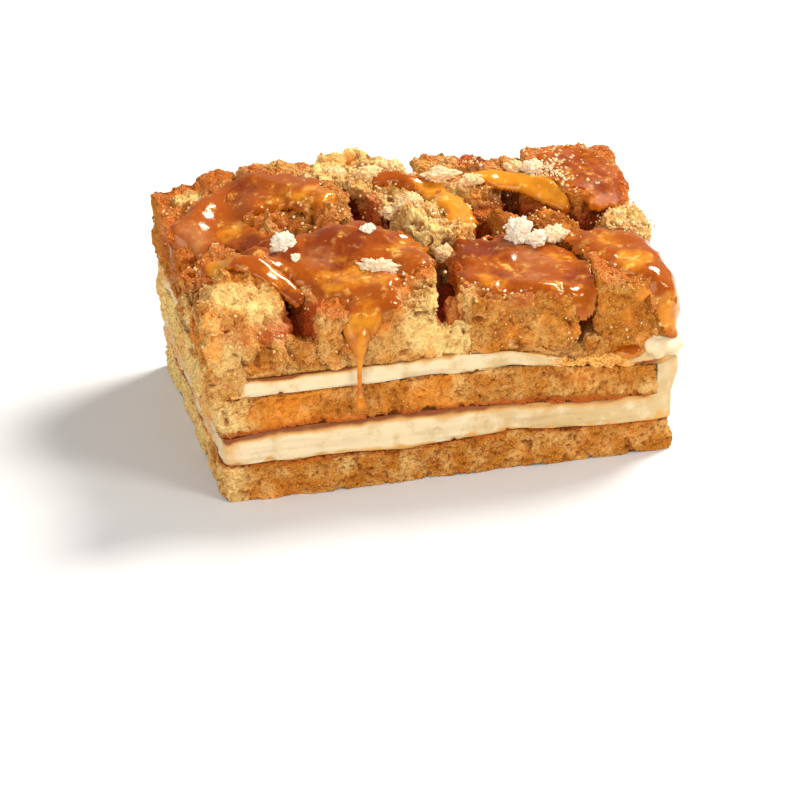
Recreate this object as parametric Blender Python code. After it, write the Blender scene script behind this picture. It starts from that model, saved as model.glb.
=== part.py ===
"""Slice of maple layer cake: two sponge layers, two cream layers, torn sponge chunks on top.

Metres, +Z up, origin at the middle of the flat underside, front cut face towards -Y.
"""

import math

import bmesh
import bpy
import numpy as np

# Sizes in millimetres, turned into metres when a mesh is made
MM = 0.001
GAP = 0.35  # air between neighbouring pieces

# Plan of the slice: one upright plane for each side, as a point on it and the way it faces
FRONT_Y = -34.5
BACK_Y = 33.0
BASE_LEFT = -51.0  # the left end steps outwards from the base to the chunks
LOWER_CREAM_LEFT = -50.4
MIDDLE_LEFT = -51.5
UPPER_CREAM_LEFT = -50.6
CHUNKS_LEFT = -52.6
RIGHT_X = 52.0
CHUNKS_RIGHT = 52.6
LEFT_SPLAY = 3.4  # degrees that the left end opens towards the back
CHUNKS_SPLAY = 2.2
RIGHT_SPLAY = 1.8
BACK_SLANT = 2.6
CORNER_SHARPNESS = 40.0

# Heights of the layers where the slice is thickest
BASE_TOP = 8.6
LOWER_CREAM_TOP = 16.8
MIDDLE_TOP = 24.7
UPPER_CREAM_TOP = 29.0
LOWER_CREAM_SAG = 2.7  # how much lower each lies at the right end
MIDDLE_SAG = 3.4
UPPER_CREAM_SAG = 4.2
CREAM_INSET = 1.3  # the creams lie a little behind the cut sponge
END_WALL = 4.6  # cream that wraps round the right end of the middle sponge
BLOB_PLACE = (47.6, -32.3, 22.9)
BLOB_RADII = (3.6, 2.9, 1.8)
SIDE_ROWS = 5
STATION_GAP = 3.2  # between points along the front and along the back
END_POINTS = 19  # points round each end

# Moves the slice so that its bounding box is centred
SHIFT = (0.31, 0.84, 0.0)

# Torn chunks on top: place, how much room each takes, height of its top,
# and how far the top leans to the front and to the right, in degrees
CHUNKS = {
    "chunk_front_left": dict(x=-42.0, y=-23.5, room=0, top=45.0, front=24, right=8, seed=1),
    "chunk_front_mid": dict(x=-16.0, y=-17.5, room=80, top=45.5, front=14, right=-3, seed=2),
    "chunk_front_caramel": dict(x=18.5, y=-22.0, room=20, top=42.5, front=8, right=3, seed=3),
    "chunk_front_right": dict(x=43.5, y=-22.0, room=0, top=43.0, front=5, right=4, seed=4),
    "chunk_left_side": dict(x=-48.0, y=-4.0, room=-20, top=41.5, front=6, right=-6, seed=5),
    "chunk_pale_column": dict(x=6.5, y=-1.0, room=-70, top=48.0, front=6, right=4, seed=6),
    "chunk_mid_right": dict(x=27.5, y=-2.0, room=-30, top=44.5, front=3, right=5, seed=7),
    "chunk_right_side": dict(x=48.5, y=-3.5, room=-50, top=44.0, front=6, right=8, seed=8),
    "chunk_back_left": dict(x=-46.5, y=19.0, room=0, top=46.0, front=4, right=-7, seed=9),
    "chunk_back_hill": dict(x=-24.5, y=13.0, room=80, top=49.0, front=9, right=-6, seed=10),
    "chunk_back_mid": dict(x=-2.5, y=22.0, room=0, top=48.5, front=7, right=2, seed=11),
    "chunk_back_peak": dict(x=17.5, y=23.5, room=-10, top=48.5, front=4, right=6, seed=12),
    "chunk_back_right": dict(x=40.5, y=15.5, room=70, top=48.0, front=4, right=2, seed=13),
}
CREVICE = 0.4  # width of the cracks between chunks at their feet
WIDE_CREVICES = {
    ("chunk_front_mid", "chunk_pale_column"): 2.6,
    ("chunk_front_mid", "chunk_front_caramel"): 1.4,
    ("chunk_front_caramel", "chunk_front_right"): 2.2,
    ("chunk_front_caramel", "chunk_mid_right"): 3.2,
    ("chunk_pale_column", "chunk_mid_right"): 2.8,
    ("chunk_back_hill", "chunk_back_mid"): 1.6,
}
CHUNK_LEAN = 3.0  # degrees that a chunk narrows upwards
CHUNK_ROUNDING = 24.0
CHUNK_AROUND = 26
CHUNK_SIDE_ROWS = 4
CHUNK_CAP_ROWS = 4
CHIPS = 3

# Lumps of crumb on the chunks: chunk, direction from the chunk's middle, size
CRUMB_LUMPS = {
    "chunk_back_hill": [((-0.05, -0.75, 0.9), 3.2), ((0.35, -0.5, 0.95), 1.9)],
    "chunk_front_caramel": [((0.0, 0.25, 1.0), 3.0), ((0.45, 0.2, 1.0), 2.4)],
    "chunk_front_mid": [((0.35, 0.15, 1.0), 2.8), ((0.3, 0.75, 1.0), 2.2)],
    "chunk_back_mid": [((-0.1, 0.1, 1.0), 3.2), ((0.5, -0.1, 1.0), 2.6)],
    "chunk_back_peak": [((-0.4, -0.5, 1.0), 2.8)],
    "chunk_back_right": [((-0.75, -0.1, 1.0), 2.6)],
}

# Caramel drip: points down the front face and the half-width at each
DRIP_X = -19.0
DRIP = [
    (-32.0, 38.5, 2.8),
    (-33.6, 34.5, 2.6),
    (-35.2, 31.2, 1.4),
    (-35.6, 28.0, 0.8),
    (-35.6, 23.5, 0.8),
    (-35.9, 20.6, 1.3),
    (-35.8, 18.6, 0.9),
]
DRIP_SIDES = 8

COLOURS = {
    "sponge": ((0.60, 0.31, 0.10, 1), 0.85),
    "cream": ((0.86, 0.74, 0.52, 1), 0.5),
    "caramel_sponge": ((0.55, 0.22, 0.05, 1), 0.45),
}


def noise(points, size, seed):
    """Smooth value noise from 0 to 1: random numbers at lattice corners, blended inside each cell."""
    scaled = points / size + seed * 17.37
    corner = np.floor(scaled).astype(np.int64)
    part = scaled - corner
    part = part * part * (3 - 2 * part)
    total = np.zeros(len(points))
    for dx in (0, 1):
        for dy in (0, 1):
            for dz in (0, 1):
                cell = corner + (dx, dy, dz)
                mixed = cell[:, 0] * 374761393 + cell[:, 1] * 668265263 + cell[:, 2] * 1274126177
                mixed &= 0xFFFFFFFF
                mixed = ((mixed ^ (mixed >> 13)) * 1103515245) & 0xFFFFFFFF
                value = ((mixed ^ (mixed >> 16)) & 0xFFFF) / 65535
                weight = np.ones(len(points))
                for axis, move in enumerate((dx, dy, dz)):
                    weight *= part[:, axis] if move else 1 - part[:, axis]
                total += value * weight
    return total


def step(x, start, end):
    t = np.clip((x - start) / (end - start), 0, 1)
    return t * t * (3 - 2 * t)


def bump(x, middle, width):
    return np.exp(-(((x - middle) / width) ** 2))


def dents(points, size, seed):
    """Hollows between flat stretches, from 0 on a stretch to 1 in a hollow."""
    return step(noise(points, size, seed), 0.42, 0.8)


def base_top(x):
    return BASE_TOP + 1.5 * bump(x, 14, 8) - 0.9 * step(x, -50, 50)


def lower_cream_top(x):
    return LOWER_CREAM_TOP - 2.2 * bump(x, -53, 9) - LOWER_CREAM_SAG * step(x, -2, 38)


def middle_top(x):
    return MIDDLE_TOP - MIDDLE_SAG * step(x, 12, 46)


def upper_cream_top(x):
    return UPPER_CREAM_TOP - UPPER_CREAM_SAG * step(x, 12, 46) - 2.0 * bump(x, 27, 10)


def upright(x, y, degrees):
    """A side plane through (x, y) that faces the way given, counted from +X."""
    angle = math.radians(degrees)
    facing = np.array([math.cos(angle), math.sin(angle), 0.0])
    return facing, facing @ (x, y, 0.0)


def side_planes(inset, left_x, right_x=RIGHT_X):
    """Front, right, back and left side of the slice. The inset moves all but the left one inwards."""
    return [
        upright(0, FRONT_Y + inset, -90),
        upright(right_x - inset, 0, -RIGHT_SPLAY),
        upright(0, BACK_Y - inset, 90 - BACK_SLANT),
        upright(left_x, 0, 180 + LEFT_SPLAY),
    ]


def reach(directions, planes, sharpness):
    """How far a line from the middle runs to the rounded hull of the planes (a smooth minimum)."""
    inverse = np.zeros(len(directions))
    for facing, distance in planes:
        inverse += (np.clip(directions @ facing, 0, None) / distance) ** sharpness
    return inverse ** (-1 / sharpness)


def make(name, points, faces, colour):
    """An object from points in millimetres, with faces pointing outwards and its own material."""
    mesh = bpy.data.meshes.new(name)
    mesh.from_pydata(((np.asarray(points) + SHIFT) * MM).tolist(), [], faces)
    work = bmesh.new()
    work.from_mesh(mesh)
    bmesh.ops.recalc_face_normals(work, faces=work.faces)
    work.to_mesh(mesh)
    work.free()
    mesh.shade_smooth()
    made = bpy.data.objects.new(name, mesh)
    bpy.context.scene.collection.objects.link(made)
    material = bpy.data.materials.new(name)
    material.use_nodes = True
    surface = material.node_tree.nodes["Principled BSDF"]
    base_colour, roughness = COLOURS[colour]
    surface.inputs["Base Color"].default_value = base_colour
    surface.inputs["Roughness"].default_value = roughness
    mesh.materials.append(material)
    return made


def bands(rows, count):
    """Faces between neighbouring rings of count points each."""
    faces = []
    for level in range(rows - 1):
        for i in range(count):
            j = (i + 1) % count
            low, high = level * count, (level + 1) * count
            faces.append((low + i, low + j, high + j, high + i))
    return faces


def plan(planes):
    """Outline in plan, anticlockwise, with the unit direction outwards at each point.

    The back has as many points as the front. That number is given too.
    """
    centre_x = 0.5 * (planes[1][1] / planes[1][0][0] + planes[3][1] / planes[3][0][0])
    middle = np.array([centre_x, 0.0, 0.0])
    moved = [(facing, offset - facing @ middle) for facing, offset in planes]
    angles = np.linspace(-math.pi, math.pi, 6000, endpoint=False)
    directions = np.stack([np.cos(angles), np.sin(angles), np.zeros_like(angles)], axis=1)
    fine = (middle + directions * reach(directions, moved, CORNER_SHARPNESS)[:, None])[:, :2]
    along = np.roll(fine, -1, axis=0) - np.roll(fine, 1, axis=0)
    steep = along[:, 0] / np.linalg.norm(along, axis=1)
    front = np.flatnonzero(steep > 0.98)
    back = np.flatnonzero(steep < -0.98)
    first = front[0]
    fine = np.roll(fine, -first, axis=0)
    travelled = np.concatenate([[0], np.cumsum(np.linalg.norm(np.diff(fine, axis=0), axis=1))])
    corners = [0, *travelled[[front[-1] - first, back[0] - first, back[-1] - first]]]
    stations = max(2, 1 + round((corners[1] - corners[0]) / STATION_GAP))
    ends = END_POINTS + 1
    wanted = np.concatenate([
        np.linspace(corners[0], corners[1], stations),
        np.linspace(corners[1], corners[2], ends + 1)[1:-1],
        np.linspace(corners[2], corners[3], stations),
        np.linspace(corners[3], travelled[-1], ends + 1)[1:-1],
    ])
    outline = np.stack([np.interp(wanted, travelled, fine[:, k]) for k in (0, 1)], axis=1)
    along = np.roll(outline, -1, axis=0) - np.roll(outline, 1, axis=0)
    outward = np.stack([along[:, 1], -along[:, 0]], axis=1)
    return outline, outward / np.linalg.norm(outward, axis=1)[:, None], stations


def slab(name, low, high, planes, crag, tuck, seed, colour):
    """A layer between two heights, each a function of x, with dented sides and edges tucked in."""
    outline, outward, stations = plan(planes)
    count = len(outline)
    rows = []
    for level in range(SIDE_ROWS + 1):
        share = level / SIDE_ROWS
        row = np.zeros((count, 3))
        row[:, :2] = outline
        row[:, 2] = low(row[:, 0]) * (1 - share) + high(row[:, 0]) * share
        edge = abs(2 * share - 1) ** 3
        depth = tuck * edge + crag * dents(row, 5.0, seed) * (1 - 0.5 * edge)
        row[:, :2] -= outward * depth[:, None]
        row[:, 2] = low(row[:, 0]) * (1 - share) + high(row[:, 0]) * share
        rows.append(row)
    right_end = [*range(stations - 1, stations + END_POINTS + 1)]
    left_end = [*range(2 * stations + END_POINTS - 1, count), 0]
    cap = [right_end, left_end]
    near = [*range(stations)]
    far = [*range(left_end[0], right_end[-1] - 1, -1)]
    if stations == 2:
        cap, near, far = [], left_end[::-1], right_end
    cap += [(near[i], near[i + 1], far[i + 1], far[i]) for i in range(len(near) - 1)]
    faces = bands(len(rows), count)
    for level in (0, SIDE_ROWS):
        faces += [tuple(level * count + k for k in face) for face in cap]
    return make(name, np.concatenate(rows), faces, colour)


def cell(name):
    """A chunk's middle and its planes: half-way to each neighbour, the slice's sides, and its top."""
    here = CHUNKS[name]
    place = np.array([here["x"], here["y"]])
    floor = float(upper_cream_top(np.array(here["x"])))
    middle = np.array([*place, 0.5 * (floor + here["top"])])
    lean = math.radians(CHUNK_LEAN)
    sides = side_planes(0.2, CHUNKS_LEFT, CHUNKS_RIGHT)
    sides[3] = upright(CHUNKS_LEFT, 0, 180 + CHUNKS_SPLAY)
    planes = [(facing, offset - facing @ middle) for facing, offset in sides]
    for other, there in CHUNKS.items():
        if other == name:
            continue
        away = np.array([there["x"], there["y"]]) - place
        distance = np.linalg.norm(away)
        gap = WIDE_CREVICES.get((name, other), WIDE_CREVICES.get((other, name), CREVICE))
        half = (distance**2 + here["room"] - there["room"]) / (2 * distance) - gap / 2
        facing = np.array([*(away / distance * math.cos(lean)), math.sin(lean)])
        foot = np.array([*(place + away / distance * half), floor])
        planes.append((facing, facing @ (foot - middle)))
    front, right = math.radians(here["front"]), math.radians(here["right"])
    up = np.array([math.sin(right), -math.sin(front), math.cos(front) * math.cos(right)])
    up /= np.linalg.norm(up)
    planes.append((up, up @ (0, 0, here["top"] - middle[2])))
    planes.append((np.array([0, 0, -1.0]), middle[2] - floor + 8.0))
    return middle, chipped(planes, here["seed"])


def chipped(planes, seed):
    """The same planes with a few more that knock off upper corners."""
    draw = np.random.default_rng(seed)
    extra = []
    for _ in range(CHIPS):
        turn = draw.uniform(0, 2 * math.pi)
        rise = draw.uniform(0.35, 0.8)
        level = math.sqrt(1 - rise**2)
        facing = np.array([math.cos(turn) * level, math.sin(turn) * level, rise])
        reached = reach(facing[None], planes, CHUNK_ROUNDING)[0]
        extra.append((facing, reached * draw.uniform(0.9, 0.98)))
    return planes + extra


def dents_of(points, seed):
    """How deep the torn surface lies under the smooth hull."""
    return (1.8 * dents(points, 7.0, seed) + 1.1 * dents(points, 3.2, seed + 50))[:, None]


def turned_up(turns, tangents):
    """Unit directions at angles in plan, with the tangents of their rise."""
    turns, tangents = np.broadcast_arrays(turns, tangents)
    level = 1 / np.sqrt(1 + tangents**2)
    return np.stack([np.cos(turns) * level, np.sin(turns) * level, tangents * level], axis=-1)


def chunk_surface(name, around, side_rows, cap_rows):
    """A torn chunk: the ring at its foot, the points above it ring by ring, and its middle.

    The foot follows the cream's height. The rim is where the rounded hull turns from side to top.
    """
    middle, planes = cell(name)
    seed = CHUNKS[name]["seed"]
    floor = upper_cream_top(middle[0]) + GAP - middle[2]
    turns = np.linspace(0, 2 * math.pi, 361)
    rises = np.tan(np.radians(np.linspace(-84, 88, 260)))
    grid = turned_up(turns[:, None], rises[None, :]).reshape(-1, 3)
    hull = (grid * reach(grid, planes, CHUNK_ROUNDING)[:, None]).reshape(len(turns), len(rises), 3)
    level = np.linalg.norm(hull[..., :2], axis=-1)
    height = hull[..., 2]
    foot = np.array([np.interp(floor, height[i, :200], level[i, :200]) for i in range(len(turns))])
    best = np.argmax(level / level.max(axis=1)[:, None] + height / height.max(axis=1)[:, None], axis=1)
    rim = rises[best]
    corners = foot[:, None] * np.stack([np.cos(turns), np.sin(turns)], axis=1)
    travelled = np.concatenate([[0], np.cumsum(np.linalg.norm(np.diff(corners, axis=0), axis=1))])
    wanted = np.interp(np.linspace(0, travelled[-1], around, endpoint=False), travelled, turns)
    foot = np.interp(wanted, turns, foot)
    rim = np.interp(wanted, turns, rim)
    shares = np.linspace(0, 1, side_rows + 1)[1:, None]
    sides = floor / foot * (1 - shares) + rim * shares
    shares = np.linspace(0, 1, cap_rows + 1)[1:-1, None]
    caps = rim / (1 - shares)
    directions = turned_up(wanted[None, :], np.concatenate([sides, caps]))
    directions = np.concatenate([directions.reshape(-1, 3), [(0, 0, 1)]])
    points = middle + directions * reach(directions, planes, CHUNK_ROUNDING)[:, None]
    points -= directions * dents_of(points, seed)
    points[:, 2] = np.maximum(points[:, 2], upper_cream_top(points[:, 0]) + GAP + 0.3)
    outwards = turned_up(wanted, 0.0)
    ring = middle + foot[:, None] * outwards + (0, 0, floor)
    ring -= outwards * dents_of(ring, seed)
    ring[:, 2] = upper_cream_top(ring[:, 0]) + GAP
    return ring, points, middle


def chunk(name):
    """The closed solid: two rings and a point underneath, then the surface from foot to top."""
    ring, points, middle = chunk_surface(name, CHUNK_AROUND, CHUNK_SIDE_ROWS, CHUNK_CAP_ROWS)
    under = [middle[None]]
    for share in (0.3, 0.65):
        under.append(middle + (ring - middle) * share)
    under = np.concatenate(under)
    under[:, 2] = upper_cream_top(under[:, 0]) + GAP
    count = CHUNK_AROUND
    rows = 2 + 1 + CHUNK_SIDE_ROWS + CHUNK_CAP_ROWS - 1
    faces = [tuple(1 + k for k in face) for face in bands(rows, count)]
    top = 1 + rows * count
    for i in range(count):
        j = (i + 1) % count
        faces.append((0, 1 + j, 1 + i))
        faces.append((top, top - count + i, top - count + j))
    return make(name, np.concatenate([under, ring, points]), faces, "caramel_sponge")


def lump(name, place, radii, seed):
    """A small craggy ball of crumb or cream."""
    work = bmesh.new()
    bmesh.ops.create_icosphere(work, subdivisions=2, radius=1)
    places = np.array([vertex.co for vertex in work.verts])
    faces = [tuple(vertex.index for vertex in face.verts) for face in work.faces]
    work.free()
    rough = 0.75 + 0.4 * noise(places * radii, 1.5, seed)
    return make(name, place + places * rough[:, None] * radii, faces, "sponge")


def drip():
    """The caramel that ran down the front: round sections of changing width along its path."""
    turns = np.arange(DRIP_SIDES) * 2 * math.pi / DRIP_SIDES
    points = []
    for y, z, half in DRIP:
        for turn in turns:
            points.append((DRIP_X + half * math.cos(turn), y + half * 0.75 * math.sin(turn), z))
    faces = bands(len(DRIP), DRIP_SIDES)
    last = (len(DRIP) - 1) * DRIP_SIDES
    faces.append(tuple(range(DRIP_SIDES)))
    faces.append(tuple(last + i for i in range(DRIP_SIDES)))
    return make("drip", points, faces, "caramel_sponge")


def fuse(body, toppings):
    """Joins the toppings to the body by one Boolean union and removes them."""
    group = bpy.data.collections.new(body.name + "_toppings")
    bpy.context.scene.collection.children.link(group)
    for topping in toppings:
        bpy.context.scene.collection.objects.unlink(topping)
        group.objects.link(topping)
    union = body.modifiers.new("union", "BOOLEAN")
    union.operation = "UNION"
    union.operand_type = "COLLECTION"
    union.collection = group
    union.solver = "EXACT"
    bpy.context.view_layer.update()
    evaluated = body.evaluated_get(bpy.context.evaluated_depsgraph_get())
    fused = bpy.data.meshes.new_from_object(evaluated)
    body.modifiers.clear()
    body.data = fused
    for topping in toppings:
        bpy.data.objects.remove(topping)
    bpy.data.collections.remove(group)


def build_layers():
    """The four layers from the plate up. Cream wraps the right end, with a blob at its front corner."""

    def over_base(x):
        return base_top(x) + GAP

    def over_lower_cream(x):
        return lower_cream_top(x) + GAP

    def over_middle(x):
        return middle_top(x) + GAP

    def in_lower_cream(x):
        return base_top(x) + 2.5

    def below_middle_top(x):
        return middle_top(x) - 1.6

    base_sides = side_planes(0.3, BASE_LEFT)
    slab("sponge_base", lambda x: 0.0 * x, base_top, base_sides, 1.1, 0.4, 21, "sponge")

    cream_sides = side_planes(CREAM_INSET, LOWER_CREAM_LEFT)
    lower = slab("cream_lower", over_base, lower_cream_top, cream_sides, 0.4, 0.4, 22, "cream")
    wall_sides = side_planes(0.9, RIGHT_X - END_WALL)
    wall_sides[3] = upright(RIGHT_X - END_WALL, 0, 180)
    wall = slab("wall", in_lower_cream, below_middle_top, wall_sides, 0.4, 0.5, 23, "cream")
    fuse(lower, [wall])

    middle_sides = side_planes(0.0, MIDDLE_LEFT, RIGHT_X - END_WALL - 0.8)
    slab("sponge_middle", over_lower_cream, middle_top, middle_sides, 1.2, 0.5, 24, "sponge")

    cream_sides = side_planes(CREAM_INSET, UPPER_CREAM_LEFT)
    upper = slab("cream_upper", over_middle, upper_cream_top, cream_sides, 0.4, 0.5, 25, "cream")
    fuse(upper, [lump("blob", BLOB_PLACE, BLOB_RADII, 26)])


def build_chunks():
    for name, here in CHUNKS.items():
        body = chunk(name)
        toppings = []
        for number, (aim, size) in enumerate(CRUMB_LUMPS.get(name, [])):
            aim = np.array(aim) / np.linalg.norm(aim)
            middle, planes = cell(name)
            smooth = middle + aim * reach(aim[None], planes, CHUNK_ROUNDING)
            place = smooth - aim * dents_of(smooth[None], here["seed"])[0]
            radii = np.array([1.15, 1.0, 0.8]) * size
            toppings.append(lump(f"{name}_lump_{number}", place, radii, here["seed"] * 10 + number))
        if name == "chunk_front_mid":
            toppings.append(drip())
        if toppings:
            fuse(body, toppings)


for old in list(bpy.data.objects):
    bpy.data.objects.remove(old)
build_layers()
build_chunks()
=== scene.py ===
import itertools
import math

import bpy
import numpy as np
from mathutils import Matrix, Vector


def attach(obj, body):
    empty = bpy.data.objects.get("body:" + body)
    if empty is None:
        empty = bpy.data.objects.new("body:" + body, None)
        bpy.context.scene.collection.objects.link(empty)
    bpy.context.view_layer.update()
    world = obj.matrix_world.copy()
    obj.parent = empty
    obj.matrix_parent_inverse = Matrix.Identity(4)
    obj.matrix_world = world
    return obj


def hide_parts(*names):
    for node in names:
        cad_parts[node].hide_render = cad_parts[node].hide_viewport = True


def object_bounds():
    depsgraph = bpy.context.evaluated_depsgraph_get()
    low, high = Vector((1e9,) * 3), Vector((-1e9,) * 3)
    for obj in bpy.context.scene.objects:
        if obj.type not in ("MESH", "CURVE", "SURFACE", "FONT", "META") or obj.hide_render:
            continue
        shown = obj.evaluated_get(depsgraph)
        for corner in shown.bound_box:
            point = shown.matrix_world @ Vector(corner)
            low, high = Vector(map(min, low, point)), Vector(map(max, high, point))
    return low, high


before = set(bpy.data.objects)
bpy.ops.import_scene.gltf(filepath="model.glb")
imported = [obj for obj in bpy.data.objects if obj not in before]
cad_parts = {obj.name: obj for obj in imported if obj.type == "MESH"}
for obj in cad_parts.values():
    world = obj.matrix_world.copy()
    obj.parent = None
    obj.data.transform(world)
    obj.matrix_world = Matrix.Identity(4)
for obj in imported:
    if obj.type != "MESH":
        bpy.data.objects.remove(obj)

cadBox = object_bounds()
mm = 0.001
shift = np.array([0.31, 0.84, 0.0])  # millimetres that centre the slice, added to every point
gap = 0.1  # air between neighbouring pieces, in millimetres as every size below
boxLow = np.array(cadBox[0]) / mm - shift
boxHigh = np.array(cadBox[1]) / mm - shift

cake = dict(
    frontY=-34.5, backY=33.0, rightX=52.0,
    baseLeft=-51.0, lowerCreamLeft=-50.4, middleLeft=-51.5, upperCreamLeft=-50.6,
    chunksLeft=-52.6, chunksRight=52.6,
    leftSplay=3.4, chunksSplay=2.2, rightSplay=1.8, backSlant=2.6,  # degrees
    cornerSharpness=40.0, creamInset=1.3, endWall=4.6,
    baseTop=8.6, lowerCreamTop=16.8, middleTop=24.7, upperCreamTop=29.0,
    lowerCreamSag=2.7, middleSag=3.4, upperCreamSag=4.2,
)


# Smooth random numbers from 0 to 1: a hashed value at each lattice corner, blended by cubic shares
def noise(points, size, seed):
    scaled = points / size + seed * 17.37
    corner = np.floor(scaled).astype(np.int64)
    part = scaled - corner
    part = part * part * (3 - 2 * part)
    total = np.zeros(len(points))
    for move in itertools.product((0, 1), repeat=3):
        number = hashed(corner + move)
        weight = np.prod(np.where(np.array(move) == 1, part, 1 - part), axis=1)
        total += (number & 0xFFFF) / 65535 * weight
    return total


def hashed(cell):
    mixed = cell[:, 0] * 374761393 + cell[:, 1] * 668265263 + cell[:, 2] * 1274126177
    mixed &= 0xFFFFFFFF
    mixed = ((mixed ^ (mixed >> 13)) * 1103515245) & 0xFFFFFFFF
    return mixed ^ (mixed >> 16)


# Distance to the nearest of the scattered points, one in each lattice cell, as a share of a cell
def cellNoise(points, size, seed):
    scaled = points / size + seed * 17.37
    corner = np.floor(scaled).astype(np.int64)
    part = scaled - corner
    best = np.full(len(points), 9.0)
    for move in itertools.product((-1, 0, 1), repeat=3):
        number = hashed(corner + move)
        away = np.zeros(len(points))
        for axis in range(3):
            place = move[axis] + ((number >> (8 * axis)) & 0xFF) / 255
            away += (place - part[:, axis]) ** 2
        best = np.minimum(best, away)
    return np.sqrt(best)


def step(x, start, end):  # 0 before start, 1 after end, a cubic between
    t = np.clip((x - start) / (end - start), 0, 1)
    return t * t * (3 - 2 * t)


def bump(x, middle, width):  # a bell curve
    return np.exp(-(((x - middle) / width) ** 2))


def near(points, spots):  # the strongest of several round spots (x, y, z, radius, strength)
    total = np.zeros(len(points))
    for x, y, z, radius, strength in spots:
        away = np.linalg.norm(points - (x, y, z), axis=1)
        total = np.maximum(total, strength * (1 - step(away, 0.55 * radius, 1.25 * radius)))
    return total


def dents(points, size, seed):  # hollows between flat stretches
    return step(noise(points, size, seed), 0.42, 0.8)


# Heights of the layers along the slice: level on the left, lower on the right
def baseTop(x):
    return cake["baseTop"] + 1.5 * bump(x, 14, 8) - 0.9 * step(x, -50, 50)


def lowerCreamTop(x):
    return cake["lowerCreamTop"] - 2.2 * bump(x, -53, 9) - cake["lowerCreamSag"] * step(x, -2, 38)


def middleTop(x):
    return cake["middleTop"] - cake["middleSag"] * step(x, 12, 46)


def upperCreamTop(x):
    return cake["upperCreamTop"] - cake["upperCreamSag"] * step(x, 12, 46) - 2.0 * bump(x, 27, 10)


def unit(vector):
    return vector / np.linalg.norm(vector)


# An upright plane through (x, y): the way it faces, in degrees from +X, and its distance from the origin
def upright(x, y, degrees):
    angle = math.radians(degrees)
    facing = np.array([math.cos(angle), math.sin(angle), 0.0])
    return facing, facing @ (x, y, 0.0)


def depthIn(points, planes):  # how far points lie inside the nearest of the planes
    return np.min([offset - points @ facing for facing, offset in planes], axis=0)


def sidePlanes(inset, leftX, rightX=cake["rightX"]):
    return [
        upright(0, cake["frontY"] + inset, -90),
        upright(rightX - inset, 0, -cake["rightSplay"]),
        upright(0, cake["backY"] - inset, 90 - cake["backSlant"]),
        upright(leftX, 0, 180 + cake["leftSplay"]),
    ]


# Distance from the middle to the rounded hull of the planes: a smooth minimum over the planes
def reach(directions, planes, sharpness):
    inverse = np.zeros(len(directions))
    for facing, distance in planes:
        inverse += (np.clip(directions @ facing, 0, None) / distance) ** sharpness
    return inverse ** (-1 / sharpness)


# Three random numbers from -0.5 to 0.5 for each point
def pushes(points, size, seed):
    return np.stack([noise(points, size, seed + k) - 0.5 for k in range(3)], axis=1)


# A mesh object from points in millimetres and arrays of faces, turned to face outwards by its signed volume
def meshPiece(name, points, faceSets, material, numbers=None):
    volume = 0.0
    for faces in faceSets:
        for k in range(1, faces.shape[1] - 1):
            a, b, c = points[faces[:, 0]], points[faces[:, k]], points[faces[:, k + 1]]
            volume += np.einsum("ij,ij->", a, np.cross(b, c))
    if volume < 0:
        faceSets = [faces[:, ::-1] for faces in faceSets]
    corners = np.concatenate([faces.ravel() for faces in faceSets]).astype(np.int32)
    sizes = np.concatenate([np.full(len(faces), faces.shape[1]) for faces in faceSets])
    starts = np.concatenate([[0], np.cumsum(sizes)[:-1]]).astype(np.int32)
    mesh = bpy.data.meshes.new(name)
    mesh.vertices.add(len(points))
    mesh.vertices.foreach_set("co", ((points + shift) * mm).astype(np.float32).ravel())
    mesh.loops.add(len(corners))
    mesh.loops.foreach_set("vertex_index", corners)
    mesh.polygons.add(len(starts))
    mesh.polygons.foreach_set("loop_start", starts)
    mesh.update(calc_edges=True)
    mesh.shade_smooth()
    for key, values in (numbers or {}).items():
        layer = mesh.attributes.new(key, "FLOAT", "POINT")
        layer.data.foreach_set("value", np.clip(values, 0, 1).astype(np.float32))
    mesh.materials.append(material)
    piece = bpy.data.objects.new(name, mesh)
    bpy.context.scene.collection.objects.link(piece)
    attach(piece, "root")
    return piece


# Faces between neighbouring rings of a grid, rows by count, closed round each ring
def ringFaces(rows, count):
    i = np.arange(count)
    j = (i + 1) % count
    low = (np.arange(rows - 1) * count)[:, None]
    faces = np.stack([low + i, low + j, low + count + j, low + count + i], axis=-1)
    return faces.reshape(-1, 4)


# Unit normals of a ring grid: cross product of the steps along and across the rings, facing away from the
# middle
def ringNormals(grid, middle):
    along = np.roll(grid, -1, axis=1) - np.roll(grid, 1, axis=1)
    across = np.gradient(grid, axis=0)
    normal = np.cross(along, across)
    normal /= np.maximum(np.linalg.norm(normal, axis=-1), 1e-9)[..., None]
    return normal * np.sign(np.einsum("ijk,ijk->", normal, grid - middle))


# The flat ends of a tube of rings: the first one turned round, the last one as it is
def endCaps(rows, count):
    ring = np.arange(count)
    return np.stack([ring[::-1], (rows - 1) * count + ring])


def fan(tip, ring):  # triangles from one point to a closed ring of points
    return np.stack([0 * ring + tip, ring, np.roll(ring, -1)], axis=1)


# Unit points in rings from below to above, without the poles: sines and cosines of the turn and of the
# height
def ball(form):
    turns = np.arange(form["around"]) * 2 * math.pi / form["around"]
    rises = np.linspace(-math.pi / 2, math.pi / 2, form["rows"] + 2)[1:-1, None]
    level, height = np.cos(rises), np.sin(rises) + 0 * turns
    return np.stack([level * np.cos(turns), level * np.sin(turns), height], axis=-1).reshape(-1, 3)


def turned(points, degrees):  # about the vertical
    c, s = math.cos(math.radians(degrees)), math.sin(math.radians(degrees))
    x, y, z = points.T
    return np.column_stack([c * x - s * y, s * x + c * y, z])


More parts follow.
